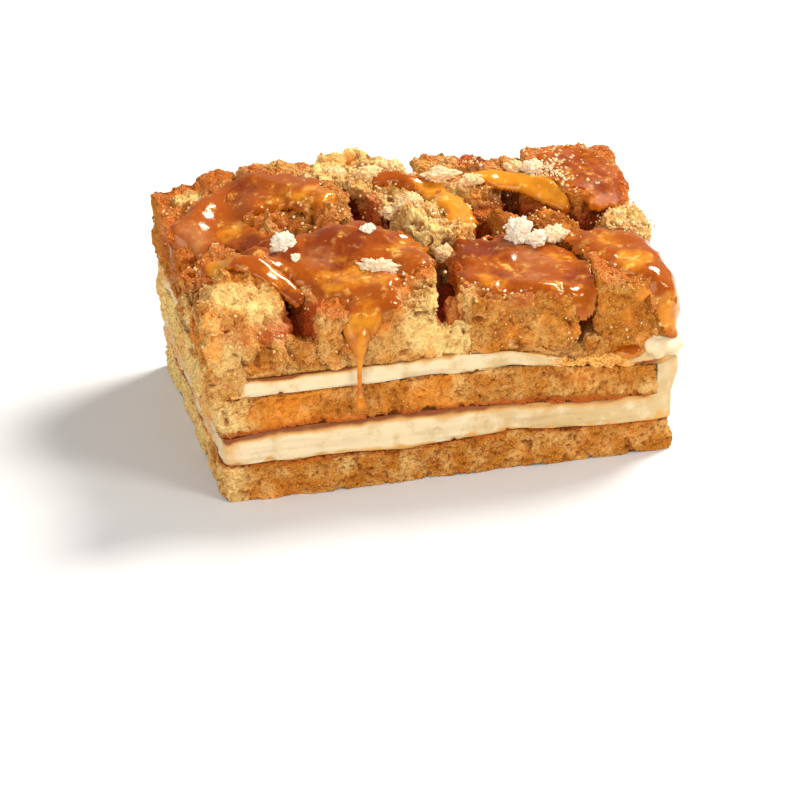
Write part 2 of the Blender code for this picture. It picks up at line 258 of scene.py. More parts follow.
# The grain of the crumb, in millimetres: size and height of its lumps and fine roughness, of the round
# grains (cells) and of the open holes, which begin and end at two levels of their noise. The last number is
# added to the seed.
tornCrumb = dict(bend=1.9, push=1.5, level=-0.3, lumps=(4.4, 1.7), fine=(0.45, 0.45),
                 cells=[(1.7, 0.75, 1), (0.8, 0.55, 2)], holes=[(1.5, 0.75, 0.62, 0.8, 3)])
cutCrumb = dict(bend=1.2, push=1.2, level=-0.05, lumps=(4.0, 0.8), fine=(0.42, 0.4),
                cells=[(0.8, 0.5, 3)], holes=[(1.9, 0.6, 0.74, 0.88, 1), (0.95, 0.55, 0.60, 0.78, 2)])


# Relief over a smooth form: the sum of those features, with the grains and holes on points pushed about by
# noise
def crumbRelief(points, seed, form=tornCrumb):
    bent = points + form["push"] * pushes(points, form["bend"], seed + 31)
    relief = np.full(len(points), form["level"])
    for (size, height), extra in ((form["lumps"], 0), (form["fine"], 4)):
        relief += height * (noise(points, size, seed + extra) - 0.5)
    for size, height, extra in form["cells"]:
        relief += height * (0.6 - cellNoise(bent, size, seed + extra))
    for size, depth, start, end, extra in form["holes"]:
        relief -= depth * step(noise(bent, size, seed + extra), start, end)
    return relief


def insideBox(points):  # nothing stands outside the solid model's box
    return np.clip(points, boxLow + 0.02, boxHigh - 0.02)


# A number or colour in a node tree. Sums and products of such numbers become Math nodes.
class Shade:
    def __init__(self, tree, socket):
        self.tree, self.socket = tree, socket

    def __add__(self, other):
        return put(self.tree, "ShaderNodeMath", {0: self, 1: other}, operation="ADD")

    def __sub__(self, other):
        return put(self.tree, "ShaderNodeMath", {0: self, 1: other}, operation="SUBTRACT")

    def __rsub__(self, other):
        return put(self.tree, "ShaderNodeMath", {0: other, 1: self}, operation="SUBTRACT")

    def __mul__(self, other):
        return put(self.tree, "ShaderNodeMath", {0: self, 1: other}, operation="MULTIPLY")


def setSockets(node, sockets):  # links what is a Shade, and sets what is a plain value
    for socket, value in sockets.items():
        if isinstance(value, Shade):
            value.tree.links.new(value.socket, node.inputs[socket])
        else:
            node.inputs[socket].default_value = value


def put(tree, kind, sockets, result=0, **settings):  # adds a node and gives back one of its outputs
    node = tree.nodes.new(kind)
    for key, value in settings.items():
        setattr(node, key, value)
    setSockets(node, sockets)
    return Shade(tree, node.outputs[result])


def coats(colour, *layers):  # colours laid over one another, each with its share
    for share, over in layers:
        colour = put(share.tree, "ShaderNodeMix", {0: share, 6: colour, 7: over}, 2, data_type="RGBA")
    return colour


def ramp(value, low, high, start=0.0, end=1.0):  # a smooth step from low to high
    sockets = {"Value": value, "From Min": low, "From Max": high, "To Min": start, "To Max": end}
    return put(value.tree, "ShaderNodeMapRange", sockets, interpolation_type="SMOOTHSTEP")


def grainAt(tree, size, detail=2.0, scale=1.0, roughness=0.6, result="Fac"):  # noise of that many millimetres
    where = put(tree, "ShaderNodeTexCoord", {}, "Object")
    sockets = {"Vector": where, "Scale": scale / (size * mm), "Detail": detail, "Roughness": roughness}
    return put(tree, "ShaderNodeTexNoise", sockets, result)


def cellsAt(tree, size):  # round grains of that many millimetres: 1 in their middles, 0 between them
    push = grainAt(tree, size, 1.0, 0.7, 0.5, "Color")
    push = put(tree, "ShaderNodeVectorMath", {0: push, 1: (size * mm,) * 3}, operation="MULTIPLY")
    where = put(tree, "ShaderNodeTexCoord", {}, "Object")
    bent = put(tree, "ShaderNodeVectorMath", {0: push, 1: where}, operation="ADD")
    cells = put(tree, "ShaderNodeTexVoronoi", {"Vector": bent, "Scale": 1 / (size * mm)}, "Distance")
    return ramp(cells, 0.62, 0.12)


def number(tree, name):  # a value that the mesh carries
    return put(tree, "ShaderNodeAttribute", {}, "Fac", attribute_name=name)


def newMaterial(name):
    material = bpy.data.materials.new(name)
    material.use_nodes = True
    return material, material.node_tree


# Fills in the shader: colour, roughness, a relief of the strength and depth in millimetres that the look
# gives, and the look's plain values
def finished(material, look, colour, height, roughness):
    strength, depth = look["relief"]
    sockets = {"Height": height, "Strength": strength, "Distance": depth * mm}
    relief = put(material.node_tree, "ShaderNodeBump", sockets)
    shader = material.node_tree.nodes["Principled BSDF"]
    setSockets(shader, {"Base Color": colour, "Normal": relief, "Roughness": roughness, **look["shader"]})
    return material


spongeLook = dict(
    tan=(0.55, 0.190, 0.017, 1), pale=(0.97, 0.68, 0.25, 1), brown=(0.33, 0.078, 0.006, 1),
    toast=(0.43, 0.125, 0.011, 1), light=(0.90, 0.47, 0.09, 1), pore=(0.27, 0.062, 0.006, 1),
    amber=(0.50, 0.110, 0.006, 1), red=(0.42, 0.050, 0.005, 1), orange=(0.95, 0.31, 0.028, 1),
    grain=0.62, fine=0.42, pits=1.0, toasting=2.4, mottle=3.6,  # sizes in millimetres
    dry=0.9, shine=0.68, relief=(0.85, 0.36),
    shader={"Subsurface Weight": 0.12, "Subsurface Radius": (1.0, 0.45, 0.18), "Subsurface Scale": 0.5 * mm,
            "IOR": 1.33, "Specular IOR Level": 0.35},
)


# Crumb: tan to pale by the mesh's own values and a slow mottle, with painted highlights on the raised grains
# and painted shade in the pores, pits and hollows between them. Syrup turns it amber, then red-brown where it
# is deep, and makes it shine.
def spongeMaterial():
    material, tree = newMaterial("tornSponge")
    look = spongeLook
    fine = grainAt(tree, look["fine"], 3.0) - 0.5
    slow = grainAt(tree, look["mottle"]) - 0.5
    pitted = grainAt(tree, look["pits"], 3.0)
    soak, deep = number(tree, "soak"), number(tree, "deep")
    paleShare = number(tree, "pale") + slow * 0.9
    torn = (1.0 - number(tree, "smooth")) * (1.0 - ramp(paleShare, 0.2, 0.9) * 0.6)
    raised = cellsAt(tree, look["grain"]) + fine * 1.4
    wet = ramp(soak + fine * 0.9, 0.25, 0.85)
    toasted = ramp(grainAt(tree, look["toasting"], 3.0) - paleShare * 0.1, 0.48, 0.62)
    colour = coats(
        look["tan"],
        (ramp(paleShare, 0.1, 0.9), look["pale"]),
        (toasted * (torn * 0.42), look["toast"]),
        # painted highlight: raised grains lighter
        (ramp(raised, 0.6, 1.1, 0.0, 0.75), look["light"]),
        # painted shade in the pores and hollows
        (number(tree, "hollow") * 0.85, look["pore"]),
        # painted shade in the pits
        (ramp(pitted - raised * 0.12, 0.48, 0.6, 0.0, 0.7) * torn, look["brown"]),
        (ramp(number(tree, "stain") + slow * 1.1, 0.35, 1.0, 0.0, 0.65), look["orange"]),
        (wet * 0.82, coats(look["amber"], (ramp(deep + slow, 0.2, 0.9), look["red"]))),
        (deep * 0.7, look["red"]))
    return finished(material, look, colour, raised - pitted * 2.0, look["dry"] - wet * look["shine"])


creamLook = dict(
    ivory=(0.75, 0.61, 0.38, 1), butter=(0.60, 0.43, 0.20, 1), smear=(0.25, 0.058, 0.006, 1),
    crumb=(0.50, 0.17, 0.022, 1), honey=(0.66, 0.36, 0.10, 1), relief=(0.45, 0.3), roughness=0.45,
    shader={"Subsurface Weight": 0.4, "Subsurface Radius": (1.0, 0.7, 0.4), "Subsurface Scale": 1.2 * mm,
            "IOR": 1.4},
)


# Cream: ivory with buttery clouds, honey to brown where syrup smears it and where painted shadow lies along
# its upper edge, and speckled where crumb sticks to it
def creamMaterial():
    material, tree = newMaterial("butterCream")
    look = creamLook
    mottle = grainAt(tree, 4.0, 4.0)
    fine = grainAt(tree, 0.5)
    smear = number(tree, "smear") + (mottle - 0.5) * 0.5
    # crumb speckles, with the painted grain highlight where the relief rises
    speckled = coats(look["crumb"], (ramp(fine, 0.42, 0.6), spongeLook["light"]))
    colour = coats(
        look["ivory"],
        (ramp(number(tree, "rich") * 0.26 + mottle, 0.46, 0.8), look["butter"]),
        (ramp(smear, 0.0, 0.5), look["honey"]),
        (ramp(smear, 0.4, 1.0), look["smear"]),
        (number(tree, "crumb"), speckled))
    return finished(material, look, colour, fine, look["roughness"])


caramelLook = dict(
    gold=(0.66, 0.245, 0.012, 1), amber=(0.34, 0.068, 0.002, 1), dark=(0.20, 0.026, 0.002, 1),
    pink=(0.54, 0.225, 0.085, 1), butter=(0.84, 0.50, 0.12, 1), thin=(0.50, 0.130, 0.006, 1),
    cloud=3.2, swirl=2.6, fleck=1.5, wave=2.2, relief=(0.12, 0.4),
    shader={"Subsurface Weight": 0.5, "Subsurface Radius": (1.0, 0.25, 0.04), "Subsurface Scale": 2.0 * mm,
            "IOR": 1.46, "Specular Tint": (1.0, 0.78, 0.56, 1)},
)


# Caramel: amber, turning golden or brown by the mesh's own values and slow clouds, with buttery swirls and
# flecks inside and pinkish streaks of painted milky sheen
def caramelMaterial(name, roughness, gloss):
    material, tree = newMaterial(name)
    look = caramelLook
    cloud = (grainAt(tree, look["cloud"]) - 0.5) * 1.7
    swirl = grainAt(tree, look["swirl"])
    goldShare = number(tree, "gold") + cloud
    colour = coats(
        look["amber"],
        (ramp(goldShare, 0.1, 0.95), look["gold"]),
        (ramp(number(tree, "dark") - cloud, 0.2, 1.0), look["dark"]),
        (ramp(number(tree, "thin"), 0.2, 1.0, 0.0, 0.8), look["thin"]),
        (ramp(swirl, 0.56, 0.72) * ramp(goldShare, 0.1, 0.6, 0.25, 0.75), look["butter"]),
        (ramp(cellsAt(tree, look["fleck"]), 0.78, 1.0) * ramp(swirl, 0.52, 0.66, 0.0, 0.5), look["butter"]),
        # painted sheen: milky pink streaks
        (number(tree, "milky") * ramp(swirl, 0.35, 0.6, 0.4, 1.0), look["pink"]))
    setSockets(tree.nodes["Principled BSDF"], {"Specular IOR Level": gloss})
    return finished(material, look, colour, grainAt(tree, look["wave"]), roughness)


crumbLook = dict(
    white=(1.0, 0.93, 0.76, 1), tan=(0.88, 0.52, 0.17, 1), gaps=(0.85, 0.58, 0.34, 1), relief=(0.8, 0.3),
    roughness=0.75,
    shader={"Subsurface Weight": 0.25, "Subsurface Radius": (1.0, 0.6, 0.3), "Subsurface Scale": 0.7 * mm,
            "IOR": 1.33},
)


# Crumb lumps: white to tan by the mesh's own value, with painted shade, warmer and darker, in the gaps
# between the grains
def crumbMaterial():
    material, tree = newMaterial("sugarCrumb")
    look = crumbLook
    fine = grainAt(tree, 0.5, 3.0) - 0.5
    raised = cellsAt(tree, 0.55) + fine
    colour = coats(
        look["white"],
        (ramp(number(tree, "tone") + fine, 0.1, 0.9), look["tan"]),
        (ramp(raised, 0.3, -0.1, 0.0, 0.7), look["gaps"]))
    return finished(material, look, colour, raised, look["roughness"])


sponge = spongeMaterial()
cream = creamMaterial()
caramel = caramelMaterial("caramelSauce", 0.11, 0.5)
syrup = caramelMaterial("thinSyrup", 0.42, 0.12)
sugarCrumb = crumbMaterial()
print("materials made")


# Steps round the outline and how straight its sides are, the tallest layer, the size of the dents, and how
# far the rings go in under and over a layer
layerForm = dict(turns=24000, straight=0.98, tallest=9.0, dents=5.0,
                 below=[2.2, 0.9], above=[0.35, 0.8, 1.6, 3.0])


# Outline of the slice in plan from the hull of its sides, with evenly spaced points: as many along the back
# as along the front, and as many on the left end as on the right
def outlineOf(planes, spacing):
    centreX = 0.5 * (planes[1][1] / planes[1][0][0] + planes[3][1] / planes[3][0][0])
    middle = np.array([centreX, 0.0, 0.0])
    moved = [(facing, offset - facing @ middle) for facing, offset in planes]
    angles = np.linspace(-math.pi, math.pi, layerForm["turns"], endpoint=False)
    directions = np.stack([np.cos(angles), np.sin(angles), np.zeros_like(angles)], axis=1)
    fine = (middle + directions * reach(directions, moved, cake["cornerSharpness"])[:, None])[:, :2]
    along = np.roll(fine, -1, axis=0) - np.roll(fine, 1, axis=0)
    steep = along[:, 0] / np.linalg.norm(along, axis=1)
    front = np.flatnonzero(steep > layerForm["straight"])
    back = np.flatnonzero(steep < -layerForm["straight"])
    first = front[0]
    fine = np.roll(fine, -first, axis=0)
    travelled = np.concatenate([[0], np.cumsum(np.linalg.norm(np.diff(fine, axis=0), axis=1))])
    corners = [0, *travelled[[front[-1] - first, back[0] - first, back[-1] - first]]]
    stations = max(2, 1 + round((corners[1] - corners[0]) / spacing))
    ends = 1 + round((corners[2] - corners[1]) / spacing)
    wanted = np.concatenate([
        np.linspace(corners[0], corners[1], stations),
        np.linspace(corners[1], corners[2], ends + 1)[1:-1],
        np.linspace(corners[2], corners[3], stations),
        np.linspace(corners[3], travelled[-1], ends + 1)[1:-1],
    ])
    outline = np.stack([np.interp(wanted, travelled, fine[:, k]) for k in (0, 1)], axis=1)
    along = np.roll(outline, -1, axis=0) - np.roll(outline, 1, axis=0)
    outward = np.stack([along[:, 1], -along[:, 0]], axis=1)
    return outline, outward / np.linalg.norm(outward, axis=1)[:, None], stations, ends - 1


# A layer: rings of the outline from under its lower edge, up its side and in over its upper edge. Each point
# moves in by the tuck at the edges and the dents of the solid model. Strips between front and back close it.
def layerGrid(low, high, planes, look):
    outline, outward, stations, ends = outlineOf(planes, look["spacing"])
    rising = np.linspace(0, 1, round(layerForm["tallest"] / look["spacing"]) + 1)
    shares = np.concatenate([[0, 0], rising, [1, 1, 1, 1]])
    insets = np.concatenate([layerForm["below"], 0 * rising, layerForm["above"]])
    share, inset = (np.repeat(values[:, None], len(outline), 1) for values in (shares, insets))
    grid = np.zeros((*share.shape, 3))
    grid[..., :2] = outline
    grid[..., 2] = low(grid[..., 0]) * (1 - share) + high(grid[..., 0]) * share
    edge = np.abs(2 * share - 1) ** 3
    dent = dents(grid.reshape(-1, 3), layerForm["dents"], look["seed"]).reshape(share.shape)
    depth = look["tuck"] * edge + look["crag"] * dent * (1 - 0.5 * edge) + inset
    grid[..., :2] -= outward * depth[..., None]
    grid[..., 2] = low(grid[..., 0]) * (1 - share) + high(grid[..., 0]) * share
    return grid, share.ravel(), inset.ravel(), layerFaces(*share.shape, stations, ends)


def layerFaces(rows, count, stations, ends):
    rightEnd = np.arange(stations - 1, stations + ends + 1)
    leftEnd = np.concatenate([np.arange(2 * stations + ends - 1, count), [0]])
    front = np.arange(stations)
    back = np.arange(leftEnd[0], rightEnd[-1] - 1, -1)
    strips = np.stack([front[:-1], front[1:], back[1:], back[:-1]], axis=1)
    last = (rows - 1) * count
    closing = [faces for end in (rightEnd, leftEnd) for faces in (end[::-1][None], last + end[None])]
    return [ringFaces(rows, count), strips[:, ::-1], last + strips, *closing]


layerLooks = {
    "sponge_base": dict(spacing=0.29, crag=1.1, tuck=0.3, seed=21),
    "sponge_middle": dict(spacing=0.29, crag=1.2, tuck=0.3, seed=24),
    "cream_lower": dict(spacing=0.42, crag=0.4, tuck=0.25, seed=22),
    "cream_upper": dict(spacing=0.42, crag=0.4, tuck=0.25, seed=25),
}


# Sponge: cut crumb. Syrup stains the middle one in patches along the front and soaks a line at its foot,
# which painted shade darkens further, and soaks the base at its upper edge.
def spongeSide(node, flat, up, front, seed):
    relief = crumbRelief(flat, seed + 40, cutCrumb)
    x = flat[:, 0]
    patchy = noise(flat * (0.55, 1, 1), 6.0, seed + 7) - 0.5
    # painted shade where the relief sinks into pores
    hollow = step(-relief, 0.25, 1.1)
    if node == "sponge_middle":
        along = bump(x, -30, 12) + 0.6 * bump(x, 0, 8) + 0.45 * bump(x, 29, 8)
        stain = front * along * 1.15 + (1 - front) * 0.4 + 1.1 * patchy
        soak = (1 - step(up + 0.25 * patchy, 0.02, 0.24)) * front
        deep = 0.2 * soak
        # painted shade darkens the soaked line at the middle sponge's foot
        hollow = np.maximum(hollow, 0.85 * soak)
    else:
        stain = 0.28 + 0.9 * patchy
        soak = 0.7 * step(up, 0.84, 1.0)
        deep = 0.3 * soak
    leftEnd = 0.55 * (1 - step(x, -50.5, -48.0)) + 0.5 * bump(x, -47, 4) * front
    pale = 0.04 + 0.5 * noise(flat, 3.0, seed + 9) + leftEnd
    return relief, {"hollow": hollow, "pale": pale, "stain": stain, "soak": soak, "deep": deep}


# Cream: slow waves, knife streaks drawn out along the slice and small pits, with crumb and syrup smeared
# over it, and painted shadow along its upper edge under the layer above
def creamSide(node, flat, up, front, seed):
    x = flat[:, 0]
    waves = noise(flat * (0.5, 0.6, 1), 3.0, seed + 1) - 0.5
    streaks = 0.35 * (noise(flat * (0.12, 0.5, 1.6), 1.0, seed + 2) - 0.5)
    pits = 0.35 * (1 - step(cellNoise(flat, 3.1, seed + 3), 0.12, 0.24))
    relief = waves + streaks - pits - 0.1
    patchy = noise(flat, 2.2, seed + 4) - 0.5
    crumb = 0.8 * (1 - step(x, -49.9, -47.9)) * step(noise(flat, 2.6, seed + 5), 0.3, 0.7)
    edge, ragged = up + 0.1 * patchy, up + 0.3 * patchy
    if node == "cream_upper":
        corner = 1 - step(x + 3.0 * patchy, -44.6, -43.0)
        farSide = step(x + 6 * patchy, 23.0, 27.0) * (1 - step(x, 39.0, 42.0))
        crumb = np.maximum(crumb, np.maximum(corner, farSide) * front)
        # the upper edge: syrup smear together with painted shadow under the chunks
        smear = 1.1 * front * bump(x, -33, 14) * step(edge, 0.62, 0.95) + 0.6 * step(ragged, 0.82, 1.05)
        smear += front * bump(x, 44, 5) * (1 - step(ragged, 0.3, 0.5))
    else:
        # the upper edge: syrup smear together with painted shadow under the middle sponge
        smear = 1.1 * front * (1 - 0.35 * step(x, 2, 16)) * (1 - step(x, 44, 47)) * step(edge, 0.68, 0.94)
        smear += 0.5 * front * (1 - step(ragged, 0.03, 0.12)) + 0.4 * front * bump(x, -49, 4)
        relief += 1.3 * step(x, 46.5, 49) * step(flat[:, 2], 13.0, 17.0)  # the wall at the right end bulges
    relief = relief * (1 - crumb) + (crumbRelief(flat, seed + 60) + 0.7) * crumb
    return relief, {"crumb": crumb, "smear": smear * (1 - crumb), "rich": step(x, -15, 30)}


def layerPiece(node, name, low, high, planes):
    look = layerLooks[node]
    grid, up, inset, faces = layerGrid(low, high, planes, look)
    flat = grid.reshape(-1, 3)
    normal = ringNormals(grid, flat.mean(axis=0)).reshape(-1, 3)
    front = bump(flat[:, 1], cake["frontY"], 3.0)
    isSponge = node.startswith("sponge")
    relief, numbers = (spongeSide if isSponge else creamSide)(node, flat, up, front, look["seed"])
    moved = flat + normal * (relief * (1 - step(inset, 0.9, 2.2)))[:, None]
    if isSponge:
        moved[:, 2] = np.maximum(moved[:, 2], low(moved[:, 0]) - 0.15)
    material, slot = (sponge, "sponge") if isSponge else (cream, "cream")
    piece = meshPiece(name, insideBox(moved), faces, material, numbers)
    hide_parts(node)


wallLeft = cake["rightX"] - cake["endWall"]


def risingTop(x):  # the lower cream's top: level, then up the end of the middle sponge
    rise = step(x, wallLeft - 1.6, wallLeft - 0.9)
    return lowerCreamTop(x) * (1 - rise) + (middleTop(x) - 0.2) * rise


layerPiece("sponge_base", "spongeBottom", lambda x: 0.0 * x, baseTop, sidePlanes(0.3, cake["baseLeft"]))
layerPiece("sponge_middle", "spongeMiddle", lambda x: lowerCreamTop(x) + gap, middleTop,
           sidePlanes(0.0, cake["middleLeft"], wallLeft + 0.8))
layerPiece("cream_lower", "creamLower", lambda x: baseTop(x) + gap, risingTop,
           sidePlanes(cake["creamInset"] - 0.8, cake["lowerCreamLeft"]))
layerPiece("cream_upper", "creamUpper", lambda x: middleTop(x) + gap, upperCreamTop,
           sidePlanes(cake["creamInset"] - 0.9, cake["upperCreamLeft"]))
print("layers made")


# Torn chunks: place, room, top height and the degrees that the top leans to the front and right, as in the
# solid model; then how much syrup soaks the top (soak), how pale the crumb is (pale) and how rough the
# tearing is (torn)
chunkKeys = ("x", "y", "room", "top", "front", "right", "soak", "pale", "torn")
chunkTable = {
    "chunk_front_left": (-42, -23.5, 0, 45, 24, 8, 0.25, 0.45, 1),
    "chunk_front_mid": (-16, -17.5, 80, 45.5, 14, -3, 0.6, 0.45, 0.9),
    "chunk_front_caramel": (18.5, -22, 20, 42.5, 8, 3, 0.55, 0.3, 0.9),
    "chunk_front_right": (43.5, -22, 0, 43, 5, 4, 0.6, 0.2, 0.7),
    "chunk_left_side": (-48, -4, -20, 41.5, 6, -6, 0.75, 0.35, 1),
    "chunk_pale_column": (6.5, -1, -70, 48, 6, 4, 0, 0.85, 1.2),
    "chunk_mid_right": (27.5, -2, -30, 44.5, 3, 5, 0.3, 0, 0.9),
    "chunk_right_side": (48.5, -3.5, -50, 44, 6, 8, 0.35, 0.6, 1),
    "chunk_back_left": (-46.5, 19, 0, 46, 4, -7, 0.65, 0.2, 0.9),
    "chunk_back_hill": (-24.5, 13, 80, 49, 9, -6, 0.6, 0.35, 1.2),
    "chunk_back_mid": (-2.5, 22, 0, 48.5, 7, 2, 0.15, 0.8, 1.2),
    "chunk_back_peak": (17.5, 23.5, -10, 48.5, 4, 6, 0.5, 0.5, 1),
    "chunk_back_right": (40.5, 15.5, 70, 48, 4, 2, 0.8, 0.3, 0.6),
}
chunks = {name: dict(zip(chunkKeys, values), seed=k + 1)
          for k, (name, values) in enumerate(chunkTable.items())}
chunkForm = dict(crevice=0.4, lean=3.0, rounding=24.0, under=8.0, spacing=0.25,
                 chips=3, chipRise=(0.35, 0.8), chipReach=(0.9, 0.98),
                 dents=[(7.0, 1.8, 0), (3.2, 1.1, 50)],  # size, depth, added to the seed
                 turns=361, rises=(-84, 88, 260), below=200, softRim=13)  # degrees and steps of the hull
wideCrevices = {
    ("chunk_front_mid", "chunk_pale_column"): 2.6,
    ("chunk_front_mid", "chunk_front_caramel"): 1.4,
    ("chunk_front_caramel", "chunk_front_right"): 2.2,
    ("chunk_front_caramel", "chunk_mid_right"): 3.2,
    ("chunk_pale_column", "chunk_mid_right"): 2.8,
    ("chunk_back_hill", "chunk_back_mid"): 1.6,
}
paleSpots = [  # x, y, z, radius, strength
    (-43.5, -24.5, 44, 5, 0.6), (-38, -26.5, 40.5, 5, 0.62), (-34, -28, 36, 4, 0.65),
    (-2.5, -31, 36, 9, 0.85), (5, -29, 41, 4, 0.6), (4, -9, 42, 10, 1),
    (-3, 26, 48, 8, 0.9), (12, 18, 46, 6, 0.8), (49, -8, 42, 6, 0.7),
    (-50, -6, 34, 6, 0.8), (-20, 2, 46, 5, 0.4), (34, 22, 47, 5, 0.7),
    (-52, 14, 41, 4.5, 0.7), (-46, 26, 46, 4.5, 0.7), (-53, 2, 36, 5, 0.6),
]
smoothSpots = [  # soft crumb torn along a flat face
    (-43.5, -24.5, 44, 5, 1), (-38, -26.5, 40.5, 5, 1), (-34.5, -28, 36, 4, 1),
]
shadedSpots = [(27, -1, 45, 9, 0.9), (22, 8, 40, 6, 0.8)]  # painted shade: crumb darkened where it lies in shade under the tongue
drySpots = [  # where no syrup shows
    (-43.5, -24.5, 44, 5.5, 1), (-38, -26.5, 40.5, 5.5, 1), (-34, -28, 36, 4.5, 1),
    (-2.5, -31, 36, 9, 1), (4, -9, 42, 10, 0.9), (22, -34, 34, 12, 0.8),
    (-3, 26, 48, 8, 0.7), (42, -34, 34, 6, 0.8), (-46, 26, 46, 4.5, 0.8),
    (-52, 14, 41, 4, 0.7),
]
wetSpots = [  # where it pools: red-brown hollows and edges
    (-27.5, -24.5, 37, 6.5, 1), (-44, -33, 39, 4, 0.55), (8, -18, 41, 6, 1),
    (17, -31.5, 41, 4, 0.8), (-50, 14, 38, 8, 0.9), (20, 27, 47.5, 6, 0.9),
    (-8, 12, 42, 7, 1), (33, -22, 33, 6, 1),
]


# Caramel pools: the way each faces, its strokes as points (x, y, z, radius), thickness and width of its
# round edge. gold and dark are spots of thin golden and thick brown caramel, milky spots of painted sheen.
# What a pool doesn't say, poolForm does: how far it may hang below its strokes (hang), goes into the crumb
# (sink), runs past its strokes (spread) and wavers (ragged), how softly it drapes (blur), and the gaps that
# it bridges, in grid steps.
pools = {
    "caramel_hill": dict(axis=(-0.2, -0.35, 0.9), thick=1.5, edge=2.6, blur=5.5, strokes=[
        [(-17.5, 10, 48.8, 2.4), (-23, 15.5, 49.2, 4.8), (-31, 20, 48.2, 6.4),
         (-38.5, 17, 45.8, 6.4), (-44, 12.5, 44, 5.6), (-47.6, 9, 42.4, 5)],
        [(-40, 11, 44.6, 4), (-36, 4.5, 44.2, 3.4), (-33, -1, 44, 3)]],
        gold=[(-19, 11, 49, 5, 0.55), (-26, 14, 49, 5, 0.4), (-38, 9, 44.5, 4, 0.5)],
        dark=[(-34, 21, 47.5, 5, 0.6), (-34, 1, 44, 5, 0.8)],
        milky=[(-47.5, 9, 42, 5, 0.5)]),
    "caramel_front": dict(axis=(0, -0.45, 0.9), thick=1.3, edge=2.2, strokes=[
        [(-34.5, -6.5, 44.5, 3.4), (-30, -12, 45.3, 4.2), (-23, -13, 45.4, 7.2),
         (-14.5, -11.5, 45.8, 8.2), (-7, -13, 45.4, 6.4), (-4.2, -18, 44.4, 4.6)],
        [(-21, -19, 43.8, 6.4), (-15.5, -24, 42.8, 6.8), (-14.5, -29, 41.4, 5),
         (-17.2, -32.6, 39.6, 3), (-18.6, -34.2, 37, 1.2)]],
        gold=[(-19, -21, 43.5, 7, 0.5), (-12, -24, 42.8, 5, 0.45), (-5, -14, 45.2, 5, 0.4),
              (-17.5, -33.5, 38, 4.5, 0.7)],
        dark=[(-19, -11, 45.5, 8, 0.9), (-10, -8.5, 46, 6, 0.6), (-30, -10, 45, 5, 0.7)],
        milky=[(-23, -14, 45, 4, 0.3)]),
    "caramel_curl": dict(axis=(-0.1, -0.4, 0.9), thick=1.5, edge=0.8, hang=0.2, sink=0.4, spread=0.2,
                         ragged=0.2, strokes=[
        [(-46, -9.5, 43.8, 1.9), (-41.5, -13.5, 45.8, 2.5), (-36.5, -16.5, 45.2, 2.5),
         (-32, -19.5, 43.2, 2.3), (-29.6, -22.5, 41.2, 1.7)]],
        gold=[(-43, -12.5, 45, 5, 1), (-34, -18, 44, 4, 0.4)],
        dark=[(-30, -22, 41, 4, 0.7)], milky=[(-38, -16, 45, 3, 0.3)]),
    "caramel_column": dict(axis=(0.1, -0.35, 0.93), thick=1, edge=1.6, strokes=[
        [(-3, 20.5, 48, 1.2), (3, 18.5, 47.6, 1.7), (8, 14, 47.4, 1.8), (10, 8, 47.5, 2.3),
         (10.6, 2, 47.2, 2.6), (10.8, -3.5, 46, 2)]],
        gold=[(9, 5, 47.5, 12, 1.1)]),
    # the tongue's gold is painted light: it shines golden all along, though it lies partly in shade
    "caramel_tongue": dict(axis=(0.1, -0.4, 0.9), thick=1.3, edge=0.6, hang=0, sink=0.4, spread=0.3,
                           ragged=0.2, strokes=[
        [(17, 17.5, 46.6, 1.4), (22, 17, 46.4, 2.2), (28, 14, 45.8, 2.6), (32.5, 9.5, 44.6, 2.3),
         (35.6, 4.5, 42.6, 1.3)]],
        gold=[(27, 14, 45.8, 14, 1.25)]),
    "caramel_glaze": dict(axis=(0.15, -0.2, 0.95), thick=0.3, edge=1.8, sink=0.9, material=syrup, strokes=[
        [(37, 19, 47.8, 3.4), (42.5, 19.5, 47.8, 5.6), (48, 14, 46.8, 3.8), (45.5, 7, 46, 5),
         (41.5, 11.5, 47, 6)]],
        gold=[(41, 12, 47, 4, 0.15)],
        dark=[(43, 17, 47.5, 9, 0.6), (47, 8, 46, 9, 0.6)]),
    "caramel_right": dict(axis=(0, -0.4, 0.92), thick=1.4, edge=2.2, strokes=[
        [(8.5, -14, 42.2, 3.4), (13.5, -16.5, 42.6, 6.4), (20, -16, 42.4, 7),
         (25.5, -20, 41.6, 6.6), (28, -26.5, 40.4, 5.6), (29.6, -32, 38.2, 3)],
        [(10.5, -23.5, 42, 4.6), (18, -25.5, 41.6, 5.6), (24, -29.5, 40.6, 3.6)]],
        gold=[(12, -26, 41.5, 4, 0.5), (28.5, -20, 41, 3.5, 0.55), (24, -31, 40, 3, 0.4),
              (19, -20, 42, 5, 0.3)],
        dark=[(11, -14, 42.5, 7, 0.9), (20, -13, 42, 6, 0.6), (16, -22, 42, 6, 0.5),
              (30, -28, 40, 5, 0.6)],
        milky=[(23, -20, 41.6, 5, 0.35)]),
    "caramel_corner": dict(axis=(0.42, -0.5, 0.75), thick=1.3, edge=2.2, strokes=[
        [(36.5, -15.5, 42.6, 3.2), (41, -18, 42.8, 5.6), (45.5, -21, 42.6, 5.6),
         (45, -27, 41.8, 5), (48.5, -30, 39, 4), (50.2, -32, 34.5, 2.8),
         (50.2, -32.6, 30.5, 1.6)]],
        gold=[(43, -26, 42, 4.5, 0.75), (40, -17, 42.8, 4, 0.45), (50, -32.5, 33, 6, 0.8)],
        dark=[(37.5, -17, 42.5, 3, 0.5)]),
}
poolForm = dict(size=0.34, shell=1.5, bridge=6, thinner=0.85, hang=1.6, sink=1.3, spread=1.1, ragged=1.0,
                blur=3.6, gold=[], dark=[], milky=[], material=caramel)


